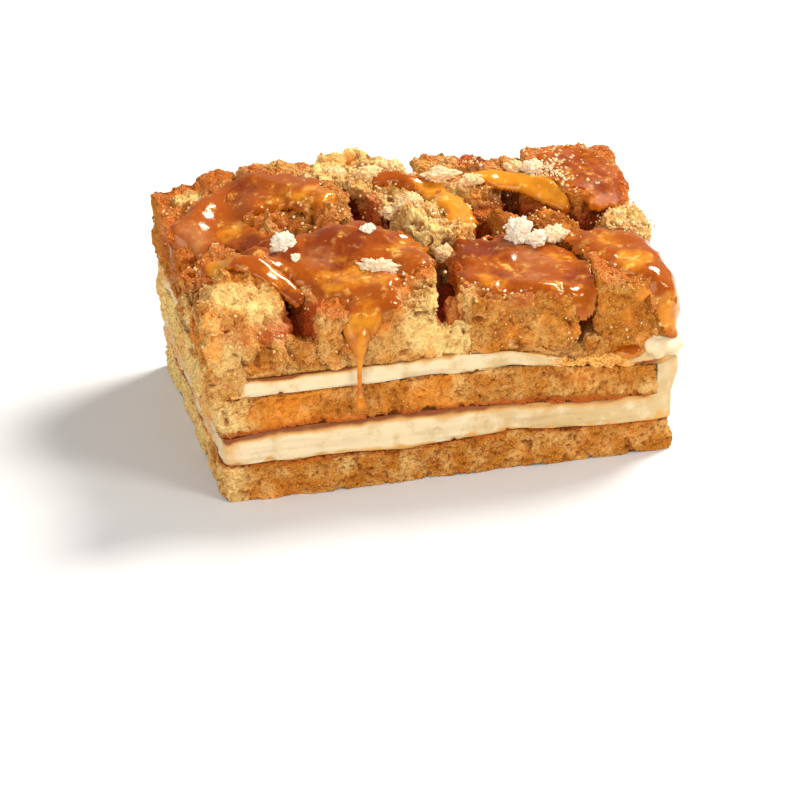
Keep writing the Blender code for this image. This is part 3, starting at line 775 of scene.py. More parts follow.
# For each stretch of a stroke: the share of it where points are nearest, and how far inside its radius they
# lie there
def stretches(points, places, radii):
    for a, b, first, last in zip(places[:-1], places[1:], radii[:-1], radii[1:]):
        along = b - a
        share = np.clip((points - a) @ along / (along @ along), 0, 1)
        away = np.linalg.norm(points - a - share[:, None] * along, axis=1)
        yield share, first + (last - first) * share - away


# How near points lie to the caramel: 1 along its strokes, 0 beyond a rim as wide as given
def nearCaramel(points, rim):
    total = np.zeros(len(points))
    for stroke in itertools.chain(*(look["strokes"] for look in pools.values())):
        places = np.array(stroke)
        for _, inside in stretches(points, places[:, :3], places[:, 3]):
            total = np.maximum(total, 1 - step(-inside, -0.5, rim))
    return total


def cell(name):  # a chunk's middle and the planes round it, as in the solid model
    here = chunks[name]
    place = np.array([here["x"], here["y"]])
    floor = float(upperCreamTop(np.array(here["x"])))
    middle = np.array([*place, 0.5 * (floor + here["top"])])
    lean = math.radians(chunkForm["lean"])
    sides = sidePlanes(0.2, cake["chunksLeft"], cake["chunksRight"])
    sides[3] = upright(cake["chunksLeft"], 0, 180 + cake["chunksSplay"])
    planes = [(facing, offset - facing @ middle) for facing, offset in sides]
    for other, there in chunks.items():
        if other == name:
            continue
        away = np.array([there["x"], there["y"]]) - place
        distance = np.linalg.norm(away)
        crack = wideCrevices.get((name, other), wideCrevices.get((other, name), chunkForm["crevice"]))
        half = (distance**2 + here["room"] - there["room"]) / (2 * distance) - crack / 2
        facing = np.array([*(away / distance * math.cos(lean)), math.sin(lean)])
        foot = np.array([*(place + away / distance * half), floor])
        planes.append((facing, facing @ (foot - middle)))
    front, right = math.radians(here["front"]), math.radians(here["right"])
    up = unit(np.array([math.sin(right), -math.sin(front), math.cos(front) * math.cos(right)]))
    planes.append((up, up @ (0, 0, here["top"] - middle[2])))
    planes.append((np.array([0, 0, -1.0]), middle[2] - floor + chunkForm["under"]))
    return middle, chipped(planes, here["seed"])


def chipped(planes, seed):  # a few more planes knock off upper corners
    draw = np.random.default_rng(seed)
    extra = []
    for _ in range(chunkForm["chips"]):
        turn = draw.uniform(0, 2 * math.pi)
        rise = draw.uniform(*chunkForm["chipRise"])
        level = math.sqrt(1 - rise**2)
        facing = np.array([math.cos(turn) * level, math.sin(turn) * level, rise])
        reached = reach(facing[None], planes, chunkForm["rounding"])[0]
        extra.append((facing, reached * draw.uniform(*chunkForm["chipReach"])))
    return planes + extra


def dentsOf(points, seed):  # large and small dents, as in the solid model
    depths = [depth * dents(points, size, seed + extra) for size, depth, extra in chunkForm["dents"]]
    return np.sum(depths, axis=0)[:, None]


def turnedUp(turns, tangents):  # unit directions at angles in plan, with the tangents of their rise
    turns, tangents = np.broadcast_arrays(turns, tangents)
    level = 1 / np.sqrt(1 + tangents**2)
    return np.stack([np.cos(turns) * level, np.sin(turns) * level, tangents * level], axis=-1)


# A chunk as rings from its foot to its rim and in over its top: rounded hull less the solid model's dents
def chunkGrid(name):
    middle, planes = cell(name)
    seed = chunks[name]["seed"]
    floor = upperCreamTop(middle[0]) + gap - middle[2]
    turns = np.linspace(0, 2 * math.pi, chunkForm["turns"])
    rises = np.tan(np.radians(np.linspace(*chunkForm["rises"])))
    lines = turnedUp(turns[:, None], rises[None, :]).reshape(-1, 3)
    hull = (lines * reach(lines, planes, chunkForm["rounding"])[:, None]).reshape(len(turns), len(rises), 3)
    level = np.linalg.norm(hull[..., :2], axis=-1)
    height = hull[..., 2]
    below = chunkForm["below"]
    foot = np.array([np.interp(floor, up, out) for up, out in zip(height[:, :below], level[:, :below])])
    best = np.argmax(level / level.max(axis=1)[:, None] + height / height.max(axis=1)[:, None], axis=1)
    rim = rises[best]
    blur = np.hanning(chunkForm["softRim"])
    half = len(blur) // 2
    rim = np.concatenate([rim[-half - 1:-1], rim, rim[1:half + 1]])
    rim = np.convolve(rim, blur / blur.sum(), mode="valid")
    corners = foot[:, None] * np.stack([np.cos(turns), np.sin(turns)], axis=1)
    travelled = np.concatenate([[0], np.cumsum(np.linalg.norm(np.diff(corners, axis=0), axis=1))])
    around = int(travelled[-1] / chunkForm["spacing"])
    sideLength = float(np.mean(rim * level[np.arange(len(best)), best] - floor))
    sideRows = int(sideLength / chunkForm["spacing"])
    capRows = int(0.8 * foot.mean() / chunkForm["spacing"])
    wanted = np.interp(np.linspace(0, travelled[-1], around, endpoint=False), travelled, turns)
    foot = np.interp(wanted, turns, foot)
    rim = np.interp(wanted, turns, rim)
    shares = np.linspace(0, 1, sideRows + 1)[:, None]
    sides = floor / foot * (1 - shares) + rim * shares
    shares = np.linspace(0, 1, capRows + 1)[1:-1, None]
    caps = rim / (1 - shares)
    directions = turnedUp(wanted[None, :], np.concatenate([sides, caps]))
    flat = directions.reshape(-1, 3)
    points = middle + flat * reach(flat, planes, chunkForm["rounding"])[:, None]
    points -= flat * dentsOf(points, seed)
    return points.reshape(directions.shape), middle


# The torn surface: crumb relief along the normals, and a random push sideways that makes small overhangs.
# Two rings and a point close it underneath.
def chunkPiece(name):
    here = chunks[name]
    grid, middle = chunkGrid(name)
    rows, count = grid.shape[:2]
    flat = grid.reshape(-1, 3)
    seed = here["seed"] * 7
    normal = ringNormals(grid, middle).reshape(-1, 3)
    floor = upperCreamTop(flat[:, 0]) + gap
    sides = sidePlanes(0.2, cake["chunksLeft"], cake["chunksRight"])
    inland = step(depthIn(flat, sides), 1.5, 5.0)
    low = step(here["top"] - flat[:, 2], 3.0, 10.0)
    deep = inland * low * (1 - 0.6 * (name == "chunk_pale_column"))
    pale = np.maximum(here["pale"] * (0.5 + noise(flat, 5.0, seed + 11)), near(flat, paleSpots))
    pooled, smooth = near(flat, wetSpots), near(flat, smoothSpots)
    patchy = noise(flat, 3.4, seed + 13) - 0.5
    soak = here["soak"] * (0.35 + 0.75 * step(normal[:, 2], 0.25, 0.75)) + 0.9 * patchy * here["soak"]
    soak = np.maximum(soak, nearCaramel(flat, 3.2) * (0.75 + 0.8 * patchy)) * (1 - near(flat, drySpots))
    soak = np.maximum(soak, np.maximum(pooled * (0.8 + 0.6 * patchy), 0.9 * deep))
    relief = crumbRelief(flat, seed) * here["torn"] * (1 - 0.35 * step(soak, 0.4, 1.0)) * (1 - 0.6 * smooth)
    foothold = step(flat[:, 2] - floor, 0.0, 1.0)[:, None]
    moved = flat + normal * relief[:, None] + pushes(flat, 1.5, seed + 21) * 0.9 * here["torn"] * foothold
    moved[:, 2] = np.maximum(moved[:, 2], floor)
    moved = insideBox(moved)
    under = [middle + (moved[:count] - middle) * share for share in (0.0, 0.3, 0.65)]
    under[0] = under[0][:1]
    for part in under:
        part[:, 2] = upperCreamTop(part[:, 0]) + gap
    points = np.concatenate([*under, moved, moved[-count:].mean(axis=0)[None]])
    last = len(points) - 1
    ring = np.arange(count)
    faces = [1 + ringFaces(rows + 2, count), fan(0, 1 + ring)[:, ::-1], fan(last, last - count + ring)]
    hidden = 2 * count + 1  # the points underneath
    values = {
        # painted shade in the pits of the relief and under the tongue
        "hollow": np.maximum(step(-relief, 0.3, 1.3), near(flat, shadedSpots)),
        "pale": pale,
        "soak": soak,
        "deep": np.maximum(deep, 0.75 * pooled * (0.7 + patchy)),
        "stain": (0.42 + 1.2 * patchy) * (1 - smooth),
        "smooth": smooth,
    }
    numbers = {key: np.concatenate([np.repeat(each[:1], hidden), each, each[-1:]])
               for key, each in values.items()}
    piece = meshPiece(name.replace("chunk_", "torn_"), points, faces, sponge, numbers)
    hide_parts(name)
    return moved, normal


surfaces = {name: chunkPiece(name) for name in chunks}
print("chunks made")


# Unit axes of a grid that looks along the given axis
def frameAlong(axis):
    w = unit(np.array(axis))
    u = unit(np.cross((0, 1, 0), w))
    return u, np.cross(w, u), w


def grown(height, rounds, pick):  # widest (np.maximum) or narrowest (np.minimum) over a round neighbourhood
    for k in range(rounds):
        padded = np.pad(height, 1, mode="edge")
        near4 = [padded[:-2, 1:-1], padded[2:, 1:-1], padded[1:-1, :-2], padded[1:-1, 2:]]
        near8 = [padded[:-2, :-2], padded[:-2, 2:], padded[2:, :-2], padded[2:, 2:]]
        for other in near4 + (near8 if k % 2 else []):
            height = pick(height, other)
    return height


def blurred(height, width):
    reachCells = int(3 * width) + 1
    kernel = np.exp(-0.5 * (np.arange(-reachCells, reachCells + 1) / width) ** 2)
    kernel /= kernel.sum()
    for axis in (0, 1):
        pads = [(reachCells, reachCells) if k == axis else (0, 0) for k in (0, 1)]
        padded = np.pad(height, pads, mode="edge")
        height = sum(weight * np.take(padded, np.arange(k, k + height.shape[axis]), axis=axis)
                     for k, weight in enumerate(kernel))
    return height


# Highest surface seen along an axis, on a grid across it: the points dropped in their cells, empty cells
# filled
def supportMap(points, axes, low, high, size):
    u, v, w = (points @ axis for axis in axes)
    inside = (u > low[0]) & (u < high[0]) & (v > low[1]) & (v < high[1])
    u, v, w = u[inside], v[inside], w[inside]
    shape = tuple(np.ceil((np.array(high) - low) / size).astype(int) + 1)
    height = np.full(shape, -99.0)
    np.maximum.at(height, (((u - low[0]) / size).astype(int), ((v - low[1]) / size).astype(int)), w)
    filled = grown(height, 1, np.maximum)
    return np.where(height < -90, filled, height)


allTorn = np.concatenate([moved for moved, _ in surfaces.values()])


# Distance inside a chain of discs across the axis: radius at the nearest place of each stretch less how far
# it is
def strokeField(u, v, axes, stroke):
    places = np.array(stroke)
    flat = np.stack([places[:, :3] @ axis for axis in axes], axis=1)
    best, height = np.full(u.size, -99.0), np.zeros(u.size)
    across = np.column_stack([u.ravel(), v.ravel()])
    for k, (share, inside) in enumerate(stretches(across, flat[:, :2], places[:, 3])):
        height = np.where(inside > best, flat[k, 2] + (flat[k + 1, 2] - flat[k, 2]) * share, height)
        best = np.maximum(best, inside)
    return best.reshape(u.shape), height.reshape(u.shape)


# A pool: the drape over what carries it, raised by a round-edged thickness, closed below by a copy sunk in
# the crumb
def poolPiece(name, look, support):
    look = {**poolForm, **look}
    axes = frameAlong(look["axis"])
    places = np.concatenate([np.array(stroke) for stroke in look["strokes"]])
    across = np.stack([places[:, :3] @ axes[0], places[:, :3] @ axes[1]], axis=1)
    low = across.min(axis=0) - places[:, 3].max() - 4
    high = across.max(axis=0) + places[:, 3].max() + 4
    raw = supportMap(support, axes, low, high, look["size"])
    u, v = np.meshgrid(*(low[k] + look["size"] * np.arange(raw.shape[k]) for k in (0, 1)), indexing="ij")
    inside = np.full(u.shape, -99.0)
    hold = np.full(u.shape, -99.0)
    for stroke in look["strokes"]:
        field, height = strokeField(u, v, axes, stroke)
        hold = np.where(field > inside, height, hold)
        softer = np.clip(0.5 + 0.5 * (field - inside) / 2.0, 0, 1)
        inside = inside * (1 - softer) + field * softer + 2.0 * softer * (1 - softer) * 0.5
    spots = np.stack([u.ravel(), v.ravel(), 0 * u.ravel()], axis=1)
    wobble = (noise(spots, 3.4, 61) - 0.5) * 3.4 + (noise(spots, 1.3, 62) - 0.5) * 1.3
    inside = inside + look["spread"] + wobble.reshape(u.shape) * look["ragged"]
    closed = grown(grown(raw, look["bridge"], np.maximum), look["bridge"], np.minimum)
    closed = np.maximum(closed, np.where(inside > -4, hold - look["hang"], -99))
    full = np.sqrt(1 - (1 - np.clip(inside / (look["edge"] + 1.2), 0, 1)) ** 2)
    swell = look["thinner"] * (0.6 + 0.8 * noise(spots, 5.0, 63).reshape(u.shape))
    top = blurred(closed, look["blur"]) - look["sink"] + (look["thick"] * swell + look["sink"]) * full
    bottom = top - look["shell"] * (0.15 + 0.85 * full)
    upper, lower = (np.stack([u, v, w], axis=-1) @ np.array(axes) for w in (top, bottom))
    points, faces, used = shell(upper, lower, inside > -0.15)
    numbers = {key: near(points, look[key]) for key in ("gold", "dark", "milky")}
    numbers["thin"] = np.tile(1 - full.ravel(), 2)[used]
    return meshPiece(name, insideBox(points), faces, look["material"], numbers)


# Closed shell from an upper and a lower grid: the squares of both whose corners are all solid, and walls
# along the edges that belong to one square only
def shell(upper, lower, solid):
    rows, columns = upper.shape[:2]
    half = rows * columns
    index = np.arange(half).reshape(rows, columns)
    corners = [grid[part] for grid in (solid, index) for part in (
        np.s_[:-1, :-1], np.s_[1:, :-1], np.s_[1:, 1:], np.s_[:-1, 1:])]
    over = np.stack(corners[4:], axis=-1)[np.all(corners[:4], axis=0)]
    edges = np.concatenate([over[:, [0, 1]], over[:, [1, 2]], over[:, [2, 3]], over[:, [3, 0]]])
    key = np.sort(edges, axis=1) @ (half, 1)
    _, first, seen = np.unique(key, return_index=True, return_counts=True)
    rim = edges[first[seen == 1]]
    walls = np.stack([rim[:, 1], rim[:, 0], rim[:, 0] + half, rim[:, 1] + half], axis=1)
    faces = np.concatenate([over, over[:, ::-1] + half, walls])
    points = np.concatenate([upper.reshape(-1, 3), lower.reshape(-1, 3)])
    used, faces = np.unique(faces, return_inverse=True)
    return points[used], [faces.reshape(-1, 4)], used


for poolName, poolLook in pools.items():
    poolPiece(poolName, poolLook, allTorn)
print("caramel pools made")


# Soaked crumb in the crevices: a rough bed over the upper cream. Its height grows inwards from the sides of
# the slice, and round the raised spots (x, y, radius, height).
bed = dict(spacing=0.5, inset=1.2, height=5, ramp=5, raised=[
    (2.5, -30.5, 5, 6.5), (34, -29.5, 4, 4.5), (-29.5, -30, 3, 3.5), (27, 10, 7, 7),
    (-34, 2, 6, 6)])


def bedPiece():
    x, y = np.meshgrid(np.arange(-54, 54, bed["spacing"]), np.arange(-36, 36, bed["spacing"]), indexing="ij")
    flat = np.stack([x.ravel(), y.ravel(), 0 * x.ravel()], axis=1)
    sides = sidePlanes(bed["inset"], cake["chunksLeft"] + 1.2, cake["rightX"])
    inside = depthIn(flat, sides)
    height = 1.0 + bed["height"] * step(inside, 0, bed["ramp"]) * (0.5 + noise(flat, 5.0, 81))
    for centreX, centreY, radius, tall in bed["raised"]:
        away = np.hypot(flat[:, 0] - centreX, flat[:, 1] - centreY)
        height = np.maximum(height, tall * bump(away, 0, radius))
    floor = upperCreamTop(flat[:, 0]) + gap - 0.3
    rough = crumbRelief(np.column_stack([flat[:, :2], height]), 82)
    upper = np.column_stack([flat[:, :2], np.maximum(floor + height + 1.1 * rough, floor + 0.4)])
    lower = np.column_stack([flat[:, :2], floor])
    grids = (grid.reshape(*x.shape, 3) for grid in (upper, lower))
    points, faces, _ = shell(*grids, (inside > 0).reshape(x.shape))
    outer = 1 - step(depthIn(points, sides), 3.0, 8.0)
    deep = 0.85 * (1 - outer)
    numbers = {"pale": 0.45 * outer, "soak": 1 - 0.75 * outer, "deep": deep, "stain": 0.4 * outer}
    meshPiece("soakedBed", insideBox(points), faces, sponge, numbers)


bedPiece()

# Scraps of torn sponge wedged between the chunks: x, y, z, half sizes, turn in degrees, pale and soak
scraps = [
    (-37.4, 24.5, 41.8, 4.6, 7.5, 6.2, 10, 0.2, 0.75), (28.6, 24, 41, 3.4, 6, 6.6, -8, 0.4, 0.5),
    (1.2, -30.8, 31, 5.6, 3, 5, 0, 0.75, 0.1), (-28.8, -29.8, 31.4, 3.8, 3, 3.4, 0, 0.35, 0.45),
    (-14.2, 25.5, 43.4, 4.4, 6, 5.8, 0, 0.7, 0.25), (8.6, 25.5, 42.6, 3, 5.5, 5.4, 0, 0.5, 0.4),
    (-25, 29, 45.6, 9, 3.6, 4.6, -4, 0.5, 0.45), (49.3, 2.5, 38, 3.2, 5, 4.5, 0, 0.4, 0.5),
    (-49.5, 7.5, 37, 2.8, 5, 5.5, 0, 0.2, 0.8), (-47.2, -32.4, 27.6, 4.6, 2, 5.2, 0, 0.45, 0.2),
    (34.6, -31.5, 26.5, 4.6, 2.4, 3.4, 0, 0.35, 0.35), (16.5, 9, 37.5, 6, 5, 5, 0, 0.1, 0.9),
    (5.5, -27.5, 34.5, 4.6, 3.2, 5.2, 0, 0.4, 0.75), (-28, -3.5, 38, 7, 5, 4.5, 0, 0.1, 0.95),
]
scrapForm = dict(around=110, rows=64, square=4)


# A scrap: a ball squared off by the fourth power, with torn relief and dents
def scrapPieces():
    sphere = ball(scrapForm)
    count, rows = scrapForm["around"], scrapForm["rows"]
    square = sphere / np.linalg.norm(sphere, ord=scrapForm["square"], axis=1)[:, None]
    sides = sidePlanes(0.5, cake["chunksLeft"], cake["rightX"])
    points, quads, ends, values = [], [], [], []
    for k, (x, y, z, long, wide, tall, degrees, pale, soak) in enumerate(scraps):
        spots = turned(square * (long, wide, tall), degrees) + (x, y, z)
        inland = step(depthIn(spots, sides), 3.0, 7.0)
        relief = crumbRelief(spots, 200 + k)
        spots += sphere * (relief - 0.9 * dents(spots, 4.0, 230 + k))[:, None]
        patchy = noise(spots, 3.0, 260 + k) - 0.5
        points.append(spots)
        quads.append(ringFaces(rows, count) + k * len(sphere))
        ends.append(endCaps(rows, count) + k * len(sphere))
        # painted shade where the relief sinks into pits, then pale, soak, deep and stain
        values.append(np.stack([step(-relief, 0.3, 1.3), pale + 0.5 * patchy, soak + 0.8 * patchy,
                                0.6 * inland * step(44 - spots[:, 2], 0, 7), 0.2 + patchy]))
    numbers = dict(zip(("hollow", "pale", "soak", "deep", "stain"), np.concatenate(values, axis=1)))
    points = np.concatenate(points)
    points[:, 2] = np.maximum(points[:, 2], middleTop(points[:, 0]) - 3.0)
    faces = [np.concatenate(quads), np.concatenate(ends)]
    meshPiece("tornScraps", insideBox(points), faces, sponge, numbers)


scrapPieces()
print("crevices filled")


# The drip down the front: round sections carried along its path (y, z, radius), flattened against the cake
drip = dict(x=-18.8, around=28, rows=130, flat=0.7, sway=0.35, thinnest=0.35, gold=0.6, milky=0.1, path=[
    (-31.4, 39.4, 3.2), (-33.6, 36.8, 2.9), (-34.6, 34.4, 1.9), (-35.1, 32.0, 0.9), (-35.3, 30.0, 0.55),
    (-35.4, 28.0, 0.5), (-35.3, 24.0, 0.5), (-35.5, 20.8, 1.2), (-35.4, 19.0, 0.9)])


def smoothPath(points, count):  # Catmull-Rom curve through the points
    points = np.array(points, float)
    ends = np.concatenate([[2 * points[0] - points[1]], points, [2 * points[-1] - points[-2]]])
    t = np.linspace(0, len(points) - 1 - 1e-9, count)
    k = t.astype(int)
    s = (t - k)[:, None]
    p0, p1, p2, p3 = ends[k], ends[k + 1], ends[k + 2], ends[k + 3]
    return 0.5 * (2 * p1 + (p2 - p0) * s + (2 * p0 - 5 * p1 + 4 * p2 - p3) * s**2
                  + (3 * p1 - p0 - 3 * p2 + p3) * s**3)


def dripPiece():
    y, z, radius = smoothPath(drip["path"], drip["rows"]).T[:, :, None]
    turns = np.arange(drip["around"]) * 2 * math.pi / drip["around"]
    along = np.linspace(0, 1, drip["rows"])[:, None]
    closing = np.sqrt(np.clip(1 - np.clip((along - 0.94) / 0.06, 0, 1) ** 2, 0.02, 1))
    half = np.maximum(radius, drip["thinnest"]) * closing
    x = drip["x"] + drip["sway"] * np.sin(along * 7.0) * along + half * np.cos(turns)
    grid = np.stack([x, y + half * drip["flat"] * np.sin(turns), z + 0 * x], axis=-1).reshape(-1, 3)
    values = dict(gold=drip["gold"], dark=0, milky=drip["milky"], thin=0)
    numbers = {key: np.full(len(grid), value) for key, value in values.items()}
    faces = [form(drip["rows"], drip["around"]) for form in (ringFaces, endCaps)]
    meshPiece("caramel_drip", insideBox(grid), faces, caramel, numbers)


dripPiece()


# Crumb lumps: x, y, height of the middle over the crumb below, half sizes along the lump, across it and up,
# turn in degrees, and tone (0 white, 1 tan)
lumpList = [
    (-29.6, -8.8, 1.4, 3.2, 2.9, 3, 20, 0), (-28, -13.3, 0.9, 1.5, 1.3, 1.2, 0, 0.3),
    (-37.6, -12.6, 1.2, 3.4, 2.6, 2.6, -30, 0.7), (-11.3, -19.3, 1.1, 5.6, 2.2, 1.9, -28, 0.45),
    (-11.2, -8.4, 0.9, 2, 1.5, 1.4, 0, 0.15), (21.4, -12, 3.6, 3.2, 2.8, 4.4, 0, 0),
    (25, -13.8, 2.6, 2.4, 2, 2.2, 0, 0.15), (29, -12, 2.4, 3.6, 2.2, 2.2, 10, 0.5),
    (-18, 25.5, 1, 3.4, 2.8, 2.4, 0, 0.7), (-12.5, 26.5, 1, 3.4, 3, 2.4, 0, 0.7),
    (-5, 22, 0.9, 3.6, 2.8, 2, 30, 0.75), (0.5, 24.5, 0.9, 3, 2.6, 2, 0, 0.8),
    (10.5, 17, 0.9, 4.4, 2.4, 2, 0, 0.6), (17, 15, 0.8, 3.4, 2.2, 1.8, 20, 0.7),
    (31.5, 16.5, 1, 3, 2.4, 1.9, 0, 0.45), (28.5, 20, 1, 2.8, 2.6, 2, 0, 0.7),
    (1, 6.5, 1, 3.6, 2.8, 2.6, 0, 0.7), (-3.5, 6, 0.8, 2.2, 1.8, 1.7, 0, 0.6),
    (4.5, -12.5, 0.8, 2.2, 1.8, 2.4, 0, 0.7), (13.5, 9, 0.8, 2.6, 2, 1.8, 0, 0.8),
]
lumpForm = dict(around=84, rows=54, lowest=42.0)


# A lump: an ellipsoid whose radius varies with clustered grains and fine roughness
def lumpPieces(topAt):
    count, rows = lumpForm["around"], lumpForm["rows"]
    sphere = np.concatenate([ball(lumpForm), [(0, 0, -1), (0, 0, 1)]])
    ring, total = np.arange(count), rows * count
    sides = ringFaces(rows, count)
    fans = np.concatenate([fan(total, ring)[:, ::-1], fan(total + 1, total - count + ring)])
    points, quads, tris, tones = [], [], [], []
    for k, (x, y, lift, long, wide, tall, degrees, tone) in enumerate(lumpList):
        spots = sphere * (long, wide, tall)
        rough = 0.58 + 0.46 * (1 - cellNoise(spots, 2.0, k + 3))
        rough += 0.34 * (0.6 - cellNoise(spots, 0.8, k + 30)) + 0.2 * (noise(spots, 0.5, k + 60) - 0.5)
        height = max(float(topAt(np.array([x]), np.array([y]))[0]), lumpForm["lowest"])
        place = (x, y, min(height + lift, boxHigh[2] - tall))
        points.append(turned(spots * rough[:, None], degrees) + place)
        quads.append(sides + k * len(sphere))
        tris.append(fans + k * len(sphere))
        tones.append(np.full(len(sphere), tone))
    points, quads, tris, tones = (np.concatenate(each) for each in (points, quads, tris, tones))
    meshPiece("crumbLumps", insideBox(points), [quads, tris], sugarCrumb, {"tone": tones})


# Gives a function that says how high the torn crumb stands at a place
def topFinder():
    size = 0.4
    axes = frameAlong((0, 0, 1))
    low = np.array([boxLow[0] - 1, boxLow[1] - 1])
    high = np.array([boxHigh[0] + 1, boxHigh[1] + 1])
    height = supportMap(allTorn, axes, low, high, size)
    height = grown(grown(height, 5, np.maximum), 5, np.minimum)

    def topAt(x, y):
        i = np.clip(((x - low[0]) / size).astype(int), 0, height.shape[0] - 1)
        j = np.clip(((y - low[1]) / size).astype(int), 0, height.shape[1] - 1)
        return height[i, j]

    return topAt


topAt = topFinder()
lumpPieces(topAt)

# Rounded blobs: cream squeezed out at the front corner, and a small puddle of caramel beside it
blobs = {
    "creamBlob": dict(place=(47.9, -32.0, 25.0), radii=(4.4, 3.4, 2.7), seed=91),
    "caramelPuddle": dict(place=(40.3, -33.4, 25.0), radii=(3.0, 2.0, 1.5), seed=95),
}
blobForm = dict(around=90, rows=60, gold=0.4)


def blobPiece(name, material):  # an ellipsoid with slow folds
    look = blobs[name]
    seed = look["seed"]
    spots = ball(blobForm) * look["radii"]
    spots *= (0.76 + 0.4 * noise(spots, 2.0, seed) + 0.12 * noise(spots, 0.9, seed + 1))[:, None]
    faces = [form(blobForm["rows"], blobForm["around"]) for form in (ringFaces, endCaps)]
    numbers = {"gold": np.full(len(spots), blobForm["gold"])}
    meshPiece(name, insideBox(spots + look["place"]), faces, material, numbers)


blobPiece("creamBlob", cream)
blobPiece("caramelPuddle", caramel)
print("drip, lumps and blobs made")


# Loose crumbs: small uneven icosahedra, thrown round places on top (x, y, spread, count) and over the torn
# crumb
crumbPlaces = [
    (35, 17, 2.6, 130), (36, 9, 2, 60), (46, 2, 4, 40), (38, 26, 5, 60),
    (-12, -14, 6, 14), (-25, -10, 5, 14), (-8, -20, 4, 40), (24, -9, 3, 40),
    (-20, 4, 6, 40), (-3, 22, 6, 70), (14, 20, 6, 70), (5, 0, 4, 40),
    (18, -31, 6, 20), (48, -8, 3, 50),
]
crumbForm = dict(small=0.14, large=0.5, largeOnFaces=0.42, onFaces=1300, lowest=36)


# Corners (0, 1, golden ratio) in every order and sign, and the triangles of corners that are 2 apart
def icosahedron():
    golden = (1 + math.sqrt(5)) / 2
    corners = np.array([(s, t * golden, 0) for s, t in ((-1, 1), (1, 1), (-1, -1), (1, -1))])
    corners = np.concatenate([corners, np.roll(corners, 1, axis=1), np.roll(corners, 2, axis=1)])
    away = np.linalg.norm(corners[:, None] - corners[None], axis=-1)
    joined = (away > 0.1) & (away < 2.1)
    faces = [(a, b, c) for a in range(12) for b in range(a + 1, 12) for c in range(b + 1, 12)
             if joined[a, b] and joined[b, c] and joined[a, c]]
    faces = np.array(faces)
    a, b, c = corners[faces].transpose(1, 0, 2)
    normal = np.cross(b - a, c - a)
    flip = (normal * corners[faces].sum(axis=1)).sum(axis=1) < 0
    faces[flip] = faces[flip][:, ::-1]
    return corners / math.sqrt(1 + golden**2), faces


def looseCrumbs():
    draw = np.random.default_rng(71)
    places, tones, sizes = [], [], []
    for x, y, spread, count in crumbPlaces:
        spots = draw.normal((x, y), spread, (count, 2))
        height = topAt(spots[:, 0], spots[:, 1])
        kept = height > crumbForm["lowest"]
        size = draw.uniform(crumbForm["small"], crumbForm["large"], count)
        places.append(np.column_stack([spots, height + 0.35 * size])[kept])
        sizes.append(size[kept])
        tones.append(draw.uniform(0.3, 1.0, count)[kept])
    for moved, normal in surfaces.values():
        count = crumbForm["onFaces"] // len(surfaces)
        picked = draw.integers(0, len(moved), count)
        sizes.append(draw.uniform(crumbForm["small"], crumbForm["largeOnFaces"], count))
        places.append(moved[picked] + normal[picked] * 0.15)
        tones.append(draw.uniform(0.9, 1.2, count))
    places, sizes, tones = (np.concatenate(each) for each in (places, sizes, tones))
    corners, faces = icosahedron()
    rough = draw.uniform(0.6, 1.25, (len(places), 12, 1)) * corners
    spin = np.linalg.qr(draw.normal(size=(len(places), 3, 3)))[0]
    points = np.einsum("nij,nkj->nki", spin, rough) * sizes[:, None, None] + places[:, None]
    allFaces = faces[None] + 12 * np.arange(len(places))[:, None, None]
    inverse = np.linalg.det(spin) < 0
    allFaces[inverse] = allFaces[inverse][..., ::-1]
    numbers = {"tone": np.repeat(tones, 12)}
    meshPiece("looseCrumbs", insideBox(points.reshape(-1, 3)), [allFaces.reshape(-1, 3)], sugarCrumb,
              numbers)


looseCrumbs()
print("crumbs made")

stage = dict(half=3.0, first=(0.74, 0.74, 0.74, 1), second=(0.76, 0.76, 0.755, 1), mottle=60.0,
             shader={"Roughness": 0.6, "Specular IOR Level": 0.2})


def floorPiece():
    mesh = bpy.data.meshes.new("floor")
    half = stage["half"]
    corners = [(-half, -half, 0), (half, -half, 0), (half, half, 0), (-half, half, 0)]
    mesh.from_pydata(corners, [], [(0, 1, 2, 3)])
    material, tree = newMaterial("paleFloor")
    colour = coats(stage["first"], (grainAt(tree, stage["mottle"]), stage["second"]))
    setSockets(tree.nodes["Principled BSDF"], {"Base Color": colour, **stage["shader"]})
    mesh.materials.append(material)
    floor = bpy.data.objects.new("floor", mesh)
    bpy.context.scene.collection.objects.link(floor)


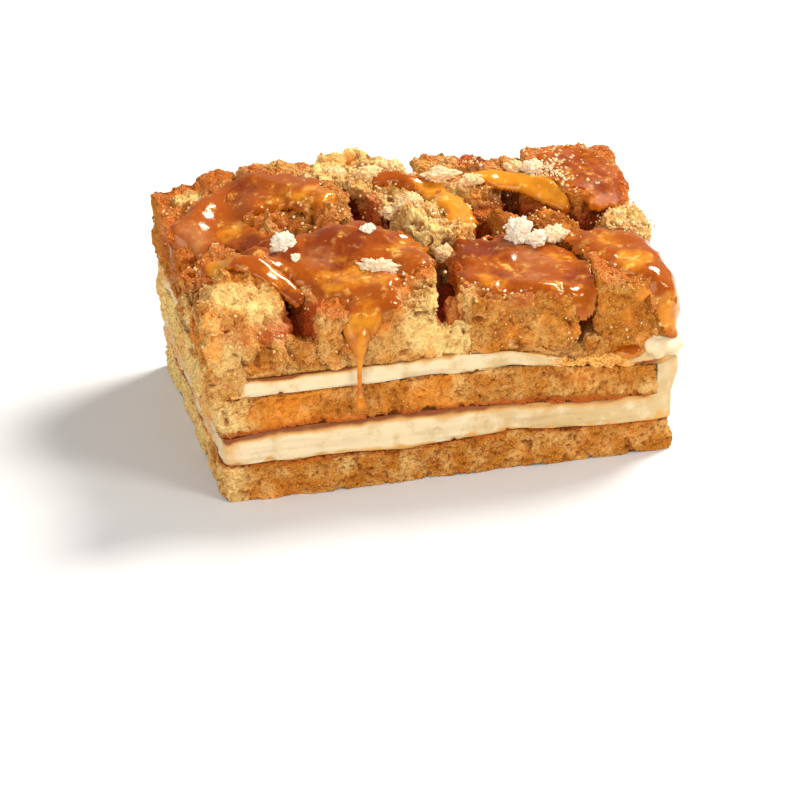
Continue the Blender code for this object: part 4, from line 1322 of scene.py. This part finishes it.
# Soft studio: a key light behind on the right, a smaller one at the side, a broad fill in front, a pale sky
lights = {
    "key": dict(place=(0.52, 0.30, 0.68), aim=(0, 0, 0.03), size=0.36, power=11.0,
                colour=(1.0, 0.965, 0.91)),
    "side": dict(place=(0.60, -0.62, 0.60), aim=(0, 0, 0.03), size=0.34, power=4.6,
                 colour=(1.0, 0.97, 0.93)),
    "fill": dict(place=(-0.55, -0.75, 0.45), aim=(0, 0, 0.02), size=0.8, power=6.0,
                 colour=(1.0, 0.985, 0.96)),
}
sky = dict(colour=(1.0, 0.99, 0.98, 1), strength=0.40)


# Puts an object at a place in metres, with the directions of its right, its up and its back as columns
def placed(thing, place, right, up, back):
    columns = np.stack([right, up, back, place], axis=1)
    thing.matrix_world = Matrix([*columns.tolist(), [0, 0, 0, 1]])
    bpy.context.scene.collection.objects.link(thing)


def addLights():
    for name, look in lights.items():
        data = bpy.data.lights.new(name, "AREA")
        data.shape = "DISK"
        data.size = look["size"]
        data.energy = look["power"]
        data.color = look["colour"]
        place = np.array(look["place"])
        back = unit(place - look["aim"])
        side = unit(np.cross((0, 0, 1), back))
        placed(bpy.data.objects.new(name, data), place, side, np.cross(back, side), back)
    world = bpy.data.worlds.new("studio")
    world.use_nodes = True
    ground = world.node_tree.nodes["Background"]
    ground.inputs["Color"].default_value = sky["colour"]
    ground.inputs["Strength"].default_value = sky["strength"]
    bpy.context.scene.world = world
    bpy.context.scene.view_settings.view_transform = "Standard"


# The camera at the photograph's angle: turned from +Y towards +X by yaw, looking down by pitch, rolled a
# little
view = dict(place=(-103.54, -510.04, 278.54), yaw=11.103, pitch=-27.996, roll=-1.619, pixels=2600.0,
            frame=800.0, sensor=36.0)


def addCamera():
    yaw, pitch, roll = (math.radians(view[key]) for key in ("yaw", "pitch", "roll"))
    forward = np.array([math.sin(yaw) * math.cos(pitch), math.cos(yaw) * math.cos(pitch), math.sin(pitch)])
    level = np.array([math.cos(yaw), -math.sin(yaw), 0.0])
    rise = np.cross(level, forward)
    right = level * math.cos(roll) + rise * math.sin(roll)
    up = rise * math.cos(roll) - level * math.sin(roll)
    data = bpy.data.cameras.new("camera")
    data.sensor_width = view["sensor"]
    data.lens = view["sensor"] * view["pixels"] / view["frame"]
    data.clip_end = 20.0
    camera = bpy.data.objects.new("camera", data)
    placed(camera, np.array(view["place"]) * mm, right, up, -forward)
    bpy.context.scene.camera = camera


floorPiece()
addLights()
addCamera()
print("studio made")
